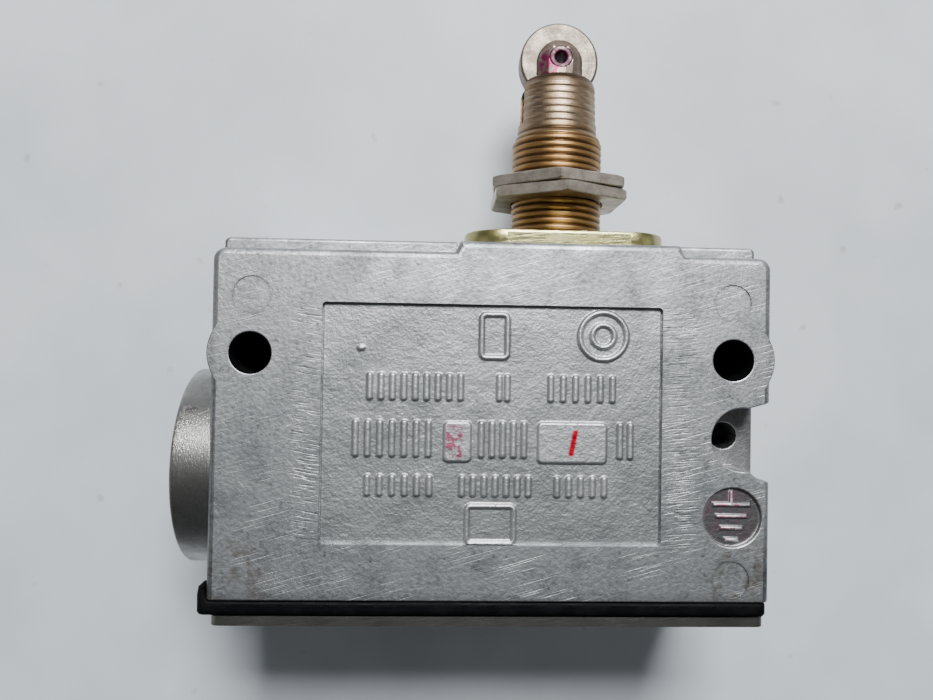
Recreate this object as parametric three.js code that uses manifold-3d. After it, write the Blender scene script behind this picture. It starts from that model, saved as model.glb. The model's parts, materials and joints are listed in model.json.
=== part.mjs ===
// Limit switch with a roller plunger, lying on its back.
//
// Millimetres. +Z is the normal of the front face, +Y is the way the plunger points, +X is to the right
// as the front face is looked at. The origin is on the back face, midway between the two mounting holes.

import * as THREE from "three";
import { mergeVertices } from "three/addons/utils/BufferGeometryUtils.js";
import Module from "manifold-3d";

const wasm = await Module();
wasm.setup();

// ---------------------------------------------------------------------------
// Driving dimensions, mm
// ---------------------------------------------------------------------------

// Die-cast housing
const bodyWidth = 65;
const bodyHeight = 41.55;
const bodyDepth = 30;
const topAboveHoles = 13.4;
const cornerRadius = 0.7;
const edgeRadius = 0.8;
const sideWall = 8.9;
const frontWall = 2.4;
const topWall = 5;

// Two through holes for the mounting screws, each in a swelling of the side wall
const holeRadius = 2.4;
const holeInset = 4.5;
const swellingRadius = 4.95;

// Step along the top front edge with a ridge behind it, and the boss that bridges both under the actuator
const stepDepth = 5;
const stepDrop = 1.3;
const ridgeRise = 0.6;
const ridgeCorner = 0.3;
const ridgeEdge = 0.4;
const bossWidth = 26.4;
const bossOffset = -0.3;
const bossSlope = 0.6;

// Sunk name field, with two blank raised pads
const fieldWidth = 39.5;
const fieldHeight = 27.75;
const fieldX = -0.13;
const fieldY = -7.86;
const fieldDepth = 0.6;
const padHeight = 0.3;
const padCorner = 0.5;
const fieldCorner = 0.5;
const smallPad = { x: -4.15, y: -9.9, width: 2.9, height: 4.4 };
const largePad = { x: 9.2, y: -9.9, width: 7.8, height: 4.5 };

// Round recess with the earth symbol, and the shallow marks of the ejector pins
const earthMarkRadius = 3.45;
const earthMarkFromRight = 4.45;
const earthMarkY = -18.3;
const earthMarkDepth = 0.5;
const earthBarWidths = [4.4, 3.6, 2.6, 1.6];
const earthBarPitch = 1.35;
const earthBarLine = 0.4;
const earthBarHeight = 0.25;
const earthStemHeight = 1.6;
const earthSymbolRise = 1.45;
const ejectorRadius = 2.15;
const ejectorDepth = 0.12;
const ejectorFromSide = 4.6;
const ejectorAboveHoles = 6.7;
const ejectorAboveBottom = 2.6;

// Seat for the earth screw, cut into the right edge
const seatRadius = 3.7;
const seatFromRight = 3.3;
const seatY = -9.25;
const seatDepth = 5.6;
const seatLipDrop = 1.2;
const seatLipStart = 0.8;
const seatLipBend = 2.2;
const earthHoleRadius = 1.65;
const earthHoleOffset = 0.3;
const earthHoleDepth = 9;

// Clearances
const faceGap = 0.1;
const boreGap = 0.15;
const slideGap = 0.1;
const rollerGap = 0.2;
const slotSpare = 0.05;
const sealGap = 0.03;

// Gasket, cover plate and cover screws at the bottom
const gasketThickness = 1.65;
const gasketOverhang = 0.55;
const gasketOffset = -0.65;
const gasketCorner = 0.8;
const gasketInset = 0.15;
const gasketLand = 6.5;
const gasketOpeningCorner = 1;
const coverThickness = 1.1;
const coverInset = 0.4;
const coverCorner = 1;
const coverScrewFromSide = 4.2;
const coverScrewFromFace = 4.6;
const coverScrewLength = 8;

// Actuator: flange plate, sleeve gasket, threaded sleeve
const actuatorFromRight = 23.4;
const flangeWidth = 25;
const flangeLength = 23;
const flangeThickness = 2;
const flangeCorner = 5;
const flangeScrewFromEdge = 3.6;
const flangeScrewLength = 6.3;
const barrelRadius = 6;
const collarRadius = 8;
const collarThickness = 2.4;
const sleeveGasketThickness = 0.7;
const barrelHeight = 15.3;
const taperLength = 1.3;
const neckRootRadius = 5.3;
const neckTopRadius = 5.15;
const neckHeight = 24.1;
const neckChamfer = 0.65;
const sleeveTail = 6.9;

// Lock nuts
const nutAcrossFlats = 17;
const nutThickness = 1.45;
const nutHeight = 7.3;
const nutTurns = [0, -5.3];
const nutChamfer = 0.3;

// Plunger, roller and hollow axle rivet
const travel = 3.2;
const travelSpare = 0.2;
const rodRadius = 3.5;
const shoulderRadius = 4.4;
const shoulderHeight = 3.4;
const shoulderBelowNeck = 12.9;
const stemRadius = 2;
const stemTail = 10;
const stemBoreRadius = 1.35;
const stemBoreDepth = 11;
const sealSection = 1.2;
const sealBelowSlot = 1;
const rollerRadius = 5.25;
const rollerThickness = 3;
const rollerChamfer = 0.3;
const axleHeight = 26.5;
const axleRadius = 1.2;
const axleBoreRadius = 0.75;
const axleHeadRadius = 1.45;
const axleHeadThickness = 0.25;
const axleEnd = 3.2;
const noseAboveAxle = 3.3;

// Springs and the parts that hold them
const springSeatThickness = 1.5;
const returnSpringWire = 0.8;
const returnSpringTurns = 7;
const returnSpringRadius = 3.35;
const pinProud = 2.4;
const pinLength = 5.5;
const pinChamfer = 0.4;
const overtravelWire = 0.36;
const overtravelTurns = 8;

// Snap-action microswitch
const caseWidth = 36.6;
const caseHeight = 18;
const caseDepth = 14.9;
const caseSideGap = 1;
const caseWall = 2;
const caseEndBlock = 5;
const caseFloor = 5;
const lidThickness = 2;
const buttonRadius = 1.9;
const buttonProud = 1.5;
const buttonFlange = 2.9;
const buttonFlangeThickness = 1;
const buttonChamfer = 0.4;
const buttonTravel = 1;
const bladeThickness = 0.5;
const bladeWidth = 5;
const bladePivotArm = 15.7;
const bladeTipArm = 5.3;
const bladeBelowCase = 5.1;
const bladeSetback = 0.3;
const bladeOverhang = 1.8;
const contactRadius = 1.2;
const contactHeight = 0.6;
const contactWaist = 0.6;
const contactSlack = 0.05;
const contactSpringWire = 0.5;
const contactSpringTurns = 5;
const contactSpringRadius = 1.7;
const contactSpringArm = 7.8;
const stripThickness = 0.6;
const stripWidth = 4;
const footWidth = 7;
const commonLegOffset = 0.9;
const commonLegAboveBlade = 1;
const closedLegOffset = 2.4;
const openLegOffset = 4.3;
const closedFootReach = 2.8;
const armReach = 1.6;
const terminalScrewLength = 4.4;
const switchScrewShort = 1;

// Screws: shank radius, head radius, head thickness
const screwRadius = 1.4;
const screwHeadRadius = 2.6;
const screwHeadThickness = 1.9;
const screwHeadChamfer = 0.3;
const screwSlotWidth = 0.7;
const screwSlotDepth = 0.8;
const sunkRadius = 1.2;
const sunkHeadRadius = 2.3;
const sunkHeadThickness = 0.95;
const sunkRim = 0.15;
const sunkSlotDepth = 0.45;

// Cable inlet on the left side
const inletY = -14.6;
const bushingRadius = 12.5;
const bushingProud = 5.2;
const bushingRound = 0.8;
const bushingStemRadius = 9.8;
const bushingStem = 2.3;
const cableRadius = 6.5;
const inletWasherThickness = 0.8;
const inletSealThickness = 3.2;
const inletSealBore = 6.2;
const inletInnerBore = 7;

// Posts inside the housing for the screws of the microswitch
const postWall = 1.6;
const postBoreFloor = 1.4;

// How deep a raised mark or a post is sunk into the wall it stands on
const rooting = 0.2;

// How far a cutting tool reaches past the face it opens
const past = 1;

// Smoothness of round shapes
const roundSides = 36;
const smallSides = 16;
const holeSides = 48;
const coilSteps = 12;
const wireSides = 6;
const markSides = 32;

// ---------------------------------------------------------------------------
// Places that follow from the dimensions
// ---------------------------------------------------------------------------

const right = bodyWidth / 2;
const left = -right;
const top = topAboveHoles;
const bottom = top - bodyHeight;
const holeX = right - holeInset;
const axisZ = bodyDepth / 2;
const actuatorX = right - actuatorFromRight;
const bossX = actuatorX + bossOffset;
const cavityX = right - sideWall;
const cavityTop = top - topWall;

const flangeBottom = top + faceGap;
const flangeTop = flangeBottom + flangeThickness;
const collarTop = top - faceGap;
const collarBottom = collarTop - collarThickness;
const sleeveGasketTop = collarBottom - faceGap;
const sleeveGasketBottom = sleeveGasketTop - sleeveGasketThickness;
const counterboreFloor = sleeveGasketBottom - faceGap;
const counterboreRadius = collarRadius + boreGap;
const sleeveBottom = top - sleeveTail;
const barrelTop = top + barrelHeight;
const neckTop = top + neckHeight;
const chamberTop = neckTop - shoulderBelowNeck + faceGap;
const chamberRadius = shoulderRadius + boreGap;
const guideRadius = rodRadius + slideGap;

const axleY = top + axleHeight;
const forkFloor = axleY - rollerRadius - 2 * rollerGap;
const forkHalfWidth = rollerThickness / 2 + rollerGap;
const sleeveSlotFloor = axleY - rollerRadius - travel - travelSpare;
const sleeveSlotHalfWidth = forkHalfWidth + slotSpare;
const noseTop = axleY + noseAboveAxle;
const shoulderTop = chamberTop - faceGap;
const shoulderBottom = shoulderTop - shoulderHeight;
const stemBottom = top - stemTail;
const sealY = sleeveSlotFloor - sealBelowSlot;
const sealOuter = guideRadius - sealGap;
const springSeatTop = sleeveBottom + springSeatThickness;

const pinBottom = stemBottom - pinProud;
const pinTop = pinBottom + pinLength;
const pinRadius = stemBoreRadius - boreGap;
const stemBoreTop = stemBottom + stemBoreDepth;

const buttonTop = pinBottom - faceGap;
const caseTop = buttonTop - buttonProud;
const caseBottom = caseTop - caseHeight;
const caseRight = cavityX - caseSideGap;
const caseLeft = caseRight - caseWidth;
const caseBack = axisZ - (caseDepth + lidThickness + faceGap) / 2;
const caseFront = caseBack + caseDepth;
const lidBack = caseFront + faceGap;
const lidFront = lidBack + lidThickness;
const roomTop = caseTop - caseWall;
const roomBottom = caseBottom + caseFloor;
const roomLeft = caseLeft + caseEndBlock;
const roomRight = caseRight - caseEndBlock;
const bladeTop = caseTop - bladeBelowCase;
const bladeBottom = bladeTop - bladeThickness;
const pivotX = actuatorX - bladePivotArm;
const tipX = actuatorX + bladeTipArm;
const tipDrop = buttonTravel * (bladePivotArm + bladeTipArm) / bladePivotArm;
const switchScrewY = (caseTop + caseBottom) / 2;
const switchScrewXs = [caseLeft + caseEndBlock / 2, caseRight - caseEndBlock / 2];
const footTop = caseBottom - faceGap;
const footBottom = footTop - stripThickness;

// ---------------------------------------------------------------------------
// Solids: closed geometry in, closed geometry out
// ---------------------------------------------------------------------------

const meldTolerance = 1e-4;

// Shared vertices only, no collapsed triangles, faces pointing out.
function closed(geometry) {
  const bare = geometry.clone();
  bare.deleteAttribute("normal");
  bare.deleteAttribute("uv");
  const merged = mergeVertices(bare, meldTolerance);
  const corner = merged.index.array;
  const place = merged.attributes.position;
  const kept = [];
  const [a, b, c] = [new THREE.Vector3(), new THREE.Vector3(), new THREE.Vector3()];
  let volume = 0;
  for (let i = 0; i < corner.length; i += 3) {
    const [p, q, r] = [corner[i], corner[i + 1], corner[i + 2]];
    if (p === q || q === r || r === p) continue;
    kept.push([p, q, r]);
    a.fromBufferAttribute(place, p);
    b.fromBufferAttribute(place, q);
    c.fromBufferAttribute(place, r);
    volume += a.dot(b.cross(c));
  }
  const turned = volume < 0 ? kept.map(([p, q, r]) => [p, r, q]) : kept;
  merged.setIndex(turned.flat());
  return merged;
}

function toSolid(geometry) {
  const shell = closed(geometry);
  return new wasm.Manifold(new wasm.Mesh({
    numProp: 3,
    vertProperties: new Float32Array(shell.attributes.position.array),
    triVerts: new Uint32Array(shell.index.array),
  }));
}

function toGeometry(solid) {
  const mesh = solid.getMesh();
  const geometry = new THREE.BufferGeometry();
  geometry.setAttribute("position", new THREE.BufferAttribute(new Float32Array(mesh.vertProperties), 3));
  geometry.setIndex(new THREE.BufferAttribute(new Uint32Array(mesh.triVerts), 1));
  return geometry;
}

const joined = (...parts) => toGeometry(parts.map(toSolid).reduce((sum, part) => sum.add(part)));
const cut = (base, ...tools) =>
  toGeometry(tools.map(toSolid).reduce((rest, tool) => rest.subtract(tool), toSolid(base)));
const common = (one, other) => toGeometry(toSolid(one).intersect(toSolid(other)));

// A box from its lowest to its highest corner.
function block(x0, x1, y0, y1, z0, z1) {
  const box = new THREE.BoxGeometry(x1 - x0, y1 - y0, z1 - z0);
  return box.translate((x0 + x1) / 2, (y0 + y1) / 2, (z0 + z1) / 2);
}

// Cylinders between two levels along each axis; u and v are the other two coordinates in X, Y, Z order.
function rodY(radius, x, z, y0, y1, sides = roundSides) {
  return new THREE.CylinderGeometry(radius, radius, y1 - y0, sides).translate(x, (y0 + y1) / 2, z);
}

function rodZ(radius, x, y, z0, z1, sides = roundSides) {
  const rod = new THREE.CylinderGeometry(radius, radius, z1 - z0, sides).rotateX(Math.PI / 2);
  return rod.translate(x, y, (z0 + z1) / 2);
}

function rodX(radius, y, z, x0, x1, sides = roundSides) {
  const rod = new THREE.CylinderGeometry(radius, radius, x1 - x0, sides).rotateZ(Math.PI / 2);
  return rod.translate((x0 + x1) / 2, y, z);
}

// A profile of [radius, height] points turned round the Y axis. A ring's profile ends where it starts.
function turned(points, sides = roundSides) {
  return new THREE.LatheGeometry(points.map(([r, y]) => new THREE.Vector2(r, y)), sides);
}

function ring(inner, outer, y0, y1, sides = roundSides) {
  return turned([[inner, y0], [outer, y0], [outer, y1], [inner, y1], [inner, y0]], sides);
}

// A rectangle with round corners, in the XY plane.
function roundedRectangle(width, height, radius) {
  const [w, h] = [width / 2, height / 2];
  const outline = new THREE.Shape();
  outline.moveTo(w, -h + radius);
  outline.absarc(w - radius, h - radius, radius, 0, Math.PI / 2);
  outline.absarc(-w + radius, h - radius, radius, Math.PI / 2, Math.PI);
  outline.absarc(-w + radius, -h + radius, radius, Math.PI, 1.5 * Math.PI);
  outline.absarc(w - radius, -h + radius, radius, 1.5 * Math.PI, 2 * Math.PI);
  return outline;
}

function plateXY(outline, z0, z1, curveSegments = 6) {
  const plate = new THREE.ExtrudeGeometry(outline, { depth: z1 - z0, bevelEnabled: false, curveSegments });
  return plate.translate(0, 0, z0);
}

// An outline drawn in X and Z, as a plate between two heights along Y.
function plateXZ(outline, x, z, y0, y1) {
  return plateXY(outline, 0, y1 - y0).rotateX(-Math.PI / 2).translate(x, y0, z);
}

// A round wire coiled round the Y axis between two heights, ends included.
class Coil extends THREE.Curve {
  constructor(radius, y0, y1, turns) {
    super();
    Object.assign(this, { radius, y0, y1, turns });
  }

  getPoint(t, target = new THREE.Vector3()) {
    const angle = t * this.turns * 2 * Math.PI;
    const y = this.y0 + t * (this.y1 - this.y0);
    return target.set(this.radius * Math.cos(angle), y, this.radius * Math.sin(angle));
  }
}

function spring(radius, wire, turns, x, z, y0, y1) {
  const section = new THREE.Shape();
  section.absarc(0, 0, wire / 2, 0, 2 * Math.PI);
  const path = new Coil(radius, y0 + 0.6 * wire, y1 - 0.6 * wire, turns);
  const options = {
    steps: turns * coilSteps,
    extrudePath: path,
    curveSegments: wireSides / 2,
    bevelEnabled: false,
  };
  return new THREE.ExtrudeGeometry(section, options).translate(x, 0, z);
}

// ---------------------------------------------------------------------------
// Finishes and the assembly
// ---------------------------------------------------------------------------

const finishes = {
  castAluminium: { color: 0x9b9c9d, roughness: 0.55, metalness: 0.9 },
  turnedAluminium: { color: 0xb0b1b1, roughness: 0.35, metalness: 1 },
  brass: { color: 0xa58a5c, roughness: 0.35, metalness: 1 },
  nickelSteel: { color: 0x9a958c, roughness: 0.4, metalness: 1 },
  yellowZinc: { color: 0xb5ab74, roughness: 0.4, metalness: 0.9 },
  steel: { color: 0x8d8b86, roughness: 0.4, metalness: 1 },
  springSteel: { color: 0x77777a, roughness: 0.3, metalness: 1 },
  rubber: { color: 0x17181b, roughness: 0.75, metalness: 0 },
  phenolic: { color: 0x2a1d18, roughness: 0.5, metalness: 0 },
  silver: { color: 0xc9c7c0, roughness: 0.3, metalness: 1 },
  lacquer: { color: 0x6d1f3f, roughness: 0.35, metalness: 0.4 },
};

const limitSwitch = new THREE.Group();

function piece(name, geometry, finish, parent = limitSwitch) {
  const mesh = new THREE.Mesh(closed(geometry), new THREE.MeshStandardMaterial(finishes[finish]));
  mesh.name = name;
  parent.add(mesh);
  return mesh;
}

// ---------------------------------------------------------------------------
// Housing
// ---------------------------------------------------------------------------

// The lower edge runs on below the body, to be cut square.
function bodyOutline(topEdge, corner, edge) {
  const reach = bodyWidth / 2 - edge;
  const low = bottom - 2 * edge;
  const high = topEdge - edge - corner;
  const outline = new THREE.Shape();
  outline.moveTo(-reach, low);
  outline.lineTo(reach, low);
  outline.absarc(reach - corner, high, corner, 0, Math.PI / 2);
  outline.absarc(-reach + corner, high, corner, Math.PI / 2, Math.PI);
  return outline;
}

function roundEdged(outline, z0, z1, edge) {
  const options = {
    depth: z1 - z0 - 2 * edge,
    bevelEnabled: true,
    bevelSize: edge,
    bevelThickness: edge,
    bevelSegments: 3,
    curveSegments: 6,
  };
  return new THREE.ExtrudeGeometry(outline, options).translate(0, 0, z0 + edge);
}

function bossOutline() {
  const x = bossX;
  const half = bossWidth / 2 - edgeRadius;
  const outline = new THREE.Shape();
  outline.moveTo(x - half - bossSlope, top - stepDrop - 2 * cornerRadius);
  outline.lineTo(x + half + bossSlope, top - stepDrop - 2 * cornerRadius);
  outline.lineTo(x + half + bossSlope, top - stepDrop - edgeRadius);
  outline.lineTo(x + half, top - edgeRadius);
  outline.lineTo(x - half, top - edgeRadius);
  outline.lineTo(x - half - bossSlope, top - stepDrop - edgeRadius);
  return outline;
}

// Seen from the front: a half round on the left whose two lips flare to the right edge.
function earthSeatCutter() {
  const x = right - seatFromRight;
  const beyond = right + 2 * past;
  const outline = new THREE.Shape();
  outline.moveTo(beyond, seatY + seatRadius + seatLipDrop);
  outline.lineTo(x + seatLipStart, seatY + seatRadius);
  outline.absarc(x, seatY, seatRadius, Math.PI / 2, 1.5 * Math.PI);
  outline.lineTo(x + seatLipStart, seatY - seatRadius);
  outline.lineTo(x + seatLipBend, seatY - seatRadius - seatLipDrop);
  outline.lineTo(beyond, seatY - seatRadius - seatLipDrop);
  return plateXY(outline, bodyDepth - seatDepth, bodyDepth + past, 20);
}

function fieldPads() {
  const floor = bodyDepth - fieldDepth;
  return [smallPad, largePad].map(({ x, y, width, height }) =>
    plateXY(roundedRectangle(width, height, padCorner), floor - rooting, floor + padHeight)
      .translate(x, y, 0));
}

function earthSymbol() {
  const x = right - earthMarkFromRight;
  const floor = bodyDepth - earthMarkDepth;
  const [z0, z1] = [floor - rooting, floor + earthBarHeight];
  const highest = earthMarkY + earthSymbolRise;
  const bars = earthBarWidths.map((width, i) => {
    const y = highest - i * earthBarPitch;
    return block(x - width / 2, x + width / 2, y - earthBarLine / 2, y + earthBarLine / 2, z0, z1);
  });
  const stem = block(x - earthBarLine / 2, x + earthBarLine / 2, highest, highest + earthStemHeight, z0, z1);
  return [...bars, stem];
}

function switchScrewHoles(z0, z1) {
  return switchScrewXs.map((x) => rodZ(screwRadius + boreGap, x, switchScrewY, z0, z1, smallSides));
}

function housingShape() {
  const ridgeOutline = bodyOutline(top + ridgeRise, ridgeCorner, ridgeEdge);
  const bandOutline = bodyOutline(top - stepDrop, cornerRadius, edgeRadius);
  const mainBody = roundEdged(ridgeOutline, 0, bodyDepth - stepDepth, ridgeEdge);
  const frontBand = roundEdged(bandOutline, bodyDepth / 2, bodyDepth, edgeRadius);
  const swellings = [-1, 1].map((side) => rodZ(swellingRadius, side * holeX, 0, 0, bodyDepth, holeSides));
  const boss = roundEdged(bossOutline(), bodyDepth / 2, bodyDepth, edgeRadius);
  const posts = switchScrewXs.map((x) =>
    rodZ(screwRadius + postWall, x, switchScrewY, frontWall - rooting, caseBack - faceGap, smallSides));
  const coverScrewX = right - coverScrewFromSide;
  const coverHoles = [-1, 1].flatMap((side) => [coverScrewFromFace, bodyDepth - coverScrewFromFace].map((z) =>
    rodY(sunkRadius + boreGap, side * coverScrewX, z, bottom - past, bottom + coverScrewLength, smallSides)));
  const flangeHoles = flangeScrewPlaces().map(([x, z]) =>
    rodY(sunkRadius + boreGap, x, z, flangeTop - flangeScrewLength - faceGap, top + past, smallSides));
  const hollowed = cut(
    joined(mainBody, frontBand, boss, ...swellings),
    block(left - past, right + past, bottom - 4 * edgeRadius, bottom, -past, bodyDepth + past),
    block(bossX - bossWidth / 2, bossX + bossWidth / 2, top, top + 2 * ridgeRise, -past, bodyDepth + past),
    block(-cavityX, cavityX, bottom - past, cavityTop, frontWall, bodyDepth - frontWall),
  );
  const inletStep = left + inletStack();
  const seatFloor = bodyDepth - seatDepth;
  const markFloor = bodyDepth - ejectorDepth;
  const bored = cut(
    joined(hollowed, ...posts),
    ...[-1, 1].map((side) => rodZ(holeRadius, side * holeX, 0, -past, bodyDepth + past, holeSides)),
    ...switchScrewHoles(postBoreFloor, caseBack),
    ...coverHoles,
    ...flangeHoles,
    rodY(counterboreRadius, actuatorX, axisZ, counterboreFloor, top + past),
    rodY(barrelRadius + 2 * boreGap, actuatorX, axisZ, cavityTop - past, top + past),
    rodX(bushingStemRadius + boreGap, inletY, axisZ, left - 2, inletStep),
    rodX(inletInnerBore, inletY, axisZ, left - 2, -cavityX + past),
    earthSeatCutter(),
    rodZ(earthHoleRadius, right - seatFromRight - earthHoleOffset, seatY, seatFloor - earthHoleDepth, bodyDepth,
      smallSides),
  );
  const marks = [[-1, ejectorAboveHoles], [1, ejectorAboveHoles], [1, bottom + ejectorAboveBottom]];
  const faced = cut(
    bored,
    plateXY(roundedRectangle(fieldWidth, fieldHeight, fieldCorner), bodyDepth - fieldDepth, bodyDepth + past)
      .translate(fieldX, fieldY, 0),
    rodZ(earthMarkRadius, right - earthMarkFromRight, earthMarkY, bodyDepth - earthMarkDepth, bodyDepth + past,
      markSides),
    ...marks.map(([side, y]) =>
      rodZ(ejectorRadius, side * (right - ejectorFromSide), y, markFloor, bodyDepth + past, markSides)),
  );
  return joined(faced, ...fieldPads(), ...earthSymbol());
}

// ---------------------------------------------------------------------------
// Screws
// ---------------------------------------------------------------------------

// Slotted countersunk screw pointing along -Y, its flat head flush with the given height.
function sunkScrew(x, z, headY, length) {
  const body = turned([
    [0, headY],
    [sunkHeadRadius, headY],
    [sunkHeadRadius, headY - sunkRim],
    [sunkRadius, headY - sunkHeadThickness],
    [sunkRadius, headY - length],
    [0, headY - length],
  ], smallSides);
  const reach = 2 * sunkHeadRadius;
  const half = screwSlotWidth / 2;
  const slot = block(-reach, reach, headY - sunkSlotDepth, headY + past, -half, half);
  return cut(body, slot).translate(x, 0, z);
}

// The cone and bore that a countersunk screw needs in a plate whose outer face is at the given height.
function sunkHole(x, z, faceY, thickness) {
  const cone = turned([
    [0, faceY + past],
    [sunkHeadRadius + boreGap, faceY + past],
    [sunkHeadRadius + boreGap, faceY - sunkRim - faceGap],
    [sunkRadius + boreGap, faceY - sunkHeadThickness - faceGap],
    [sunkRadius + boreGap, faceY - thickness - past],
    [0, faceY - thickness - past],
  ], smallSides);
  return cone.translate(x, 0, z);
}

// Slotted cheese-head screw pointing along +Y, the underside of its head at the given height.
function cheeseScrew(underHead, length) {
  const low = underHead - screwHeadThickness;
  const body = turned([
    [0, low],
    [screwHeadRadius - screwHeadChamfer, low],
    [screwHeadRadius, low + screwHeadChamfer],
    [screwHeadRadius, underHead],
    [screwRadius, underHead],
    [screwRadius, underHead + length],
    [0, underHead + length],
  ], smallSides);
  const reach = 2 * screwHeadRadius;
  const half = screwSlotWidth / 2;
  return cut(body, block(-reach, reach, low - past, low + screwSlotDepth, -half, half));
}

// ---------------------------------------------------------------------------
// Bottom closure
// ---------------------------------------------------------------------------

const coverTop = bottom - 2 * faceGap - gasketThickness;
const coverBottom = coverTop - coverThickness;
const coverScrewPlaces = [
  ["rear_left", -1, coverScrewFromFace],
  ["rear_right", 1, coverScrewFromFace],
  ["front_left", -1, bodyDepth - coverScrewFromFace],
  ["front_right", 1, bodyDepth - coverScrewFromFace],
].map(([name, side, z]) => ({ name, x: side * (right - coverScrewFromSide), z }));

function gasketShape() {
  const outline = roundedRectangle(bodyWidth + 2 * gasketOverhang, bodyDepth - 2 * gasketInset, gasketCorner);
  const inner = roundedRectangle(2 * (right - gasketLand), bodyDepth - 2 * frontWall, gasketOpeningCorner);
  const [y0, y1] = [bottom - faceGap - gasketThickness, bottom - faceGap];
  const sheet = plateXZ(outline, gasketOffset, axisZ, y0, y1);
  const opening = plateXZ(inner, 0, axisZ, y0 - past, y1 + past);
  const holes = coverScrewPlaces.map(({ x, z }) =>
    rodY(sunkRadius + 2 * boreGap, x, z, y0 - past, y1 + past, smallSides));
  return cut(sheet, opening, ...holes);
}

function coverShape() {
  const outline = roundedRectangle(bodyWidth - 2 * coverInset, bodyDepth - 2 * coverInset, coverCorner);
  const sheet = plateXZ(outline, 0, axisZ, coverBottom, coverTop);
  const holes = coverScrewPlaces.map(({ x, z }) =>
    sunkHole(0, 0, 0, coverThickness).rotateX(Math.PI).translate(x, coverBottom, z));
  return cut(sheet, ...holes);
}

// ---------------------------------------------------------------------------
// Actuator
// ---------------------------------------------------------------------------

function flangeScrewPlaces() {
  const dx = flangeWidth / 2 - flangeScrewFromEdge;
  const dz = flangeLength / 2 - flangeScrewFromEdge;
  return [[-1, -1], [1, -1], [-1, 1], [1, 1]].map(([sx, sz]) => [actuatorX + sx * dx, axisZ + sz * dz]);
}

function flangeShape() {
  const outline = roundedRectangle(flangeWidth, flangeLength, flangeCorner);
  return cut(
    plateXZ(outline, actuatorX, axisZ, flangeBottom, flangeTop),
    rodY(barrelRadius + boreGap, actuatorX, axisZ, flangeBottom - past, flangeTop + past),
    ...flangeScrewPlaces().map(([x, z]) => sunkHole(x, z, flangeTop, flangeThickness)),
  );
}

// Barrel, collar, taper and neck outside; spring chamber and guide bore inside; slotted across for the roller.
function sleeveShape() {
  const body = turned([
    [chamberRadius, sleeveBottom],
    [barrelRadius, sleeveBottom],
    [barrelRadius, collarBottom],
    [collarRadius, collarBottom],
    [collarRadius, collarTop],
    [barrelRadius, collarTop],
    [barrelRadius, barrelTop],
    [neckRootRadius, barrelTop + taperLength],
    [neckTopRadius, neckTop - neckChamfer],
    [neckTopRadius - neckChamfer, neckTop],
    [guideRadius, neckTop],
    [guideRadius, chamberTop],
    [chamberRadius, chamberTop],
    [chamberRadius, sleeveBottom],
  ]);
  const reach = 2 * barrelRadius;
  const half = sleeveSlotHalfWidth;
  const slot = block(-reach, reach, sleeveSlotFloor, neckTop + past, -half, half);
  return cut(body, slot).translate(actuatorX, 0, axisZ);
}

function nutShape(index) {
  const y0 = top + nutHeight + index * (nutThickness + faceGap);
  const y1 = y0 + nutThickness;
  const corner = nutAcrossFlats / Math.sqrt(3);
  const flatted = new THREE.CylinderGeometry(corner, corner, nutThickness, 6).translate(0, (y0 + y1) / 2, 0);
  const dome = turned([
    [0, y0],
    [corner - 2 * nutChamfer, y0],
    [corner + 0.01, y0 + nutChamfer],
    [corner + 0.01, y1 - nutChamfer],
    [corner - 2 * nutChamfer, y1],
    [0, y1],
  ]);
  const bored = cut(common(flatted, dome), rodY(barrelRadius + boreGap, 0, 0, y0 - past, y1 + past));
  return bored.rotateY(THREE.MathUtils.degToRad(nutTurns[index])).translate(actuatorX, 0, axisZ);
}

// Stem with its blind bore, shoulder, rod with a seal groove, and a domed fork slotted for the roller.
// A spot face in each ear sinks the rivet's head below the guide bore's wall.
function plungerShape() {
  const noseSteps = 8;
  const noseBase = noseTop - rodRadius;
  const nose = Array.from({ length: noseSteps + 1 }, (_, i) => {
    const angle = (i / noseSteps) * (Math.PI / 2);
    return [rodRadius * Math.cos(angle), noseBase + rodRadius * Math.sin(angle)];
  });
  nose[noseSteps][0] = 0;
  const grooveRadius = sealOuter - sealSection - faceGap / 2;
  const body = turned([
    [0, stemBoreTop],
    [stemBoreRadius, stemBoreTop],
    [stemBoreRadius, stemBottom],
    [stemRadius, stemBottom],
    [stemRadius, shoulderBottom],
    [shoulderRadius, shoulderBottom],
    [shoulderRadius, shoulderTop],
    [rodRadius, shoulderTop],
    [rodRadius, sealY - sealSection / 2 - faceGap],
    [grooveRadius, sealY - sealSection / 2 - faceGap],
    [grooveRadius, sealY + sealSection / 2 + faceGap],
    [rodRadius, sealY + sealSection / 2 + faceGap],
    ...nose,
  ]);
  const spotFace = axleEnd - axleHeadThickness - faceGap / 2;
  const forked = cut(
    body,
    block(-2 * rodRadius, 2 * rodRadius, forkFloor, noseTop + past, -forkHalfWidth, forkHalfWidth),
    rodZ(axleRadius + slideGap, 0, axleY, -2 * rodRadius, 2 * rodRadius, smallSides),
    rodZ(axleHeadRadius + slideGap, 0, axleY, spotFace, 2 * rodRadius, smallSides),
    rodZ(axleHeadRadius + slideGap, 0, axleY, -2 * rodRadius, -spotFace, smallSides),
  );
  return forked.translate(actuatorX, 0, axisZ);
}

function rollerShape() {
  const half = rollerThickness / 2;
  const bore = axleRadius + slideGap;
  return turned([
    [bore, -half],
    [rollerRadius - rollerChamfer, -half],
    [rollerRadius, -half + rollerChamfer],
    [rollerRadius, half - rollerChamfer],
    [rollerRadius - rollerChamfer, half],
    [bore, half],
    [bore, -half],
  ], holeSides).rotateX(Math.PI / 2).translate(actuatorX, axleY, axisZ);
}

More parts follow.
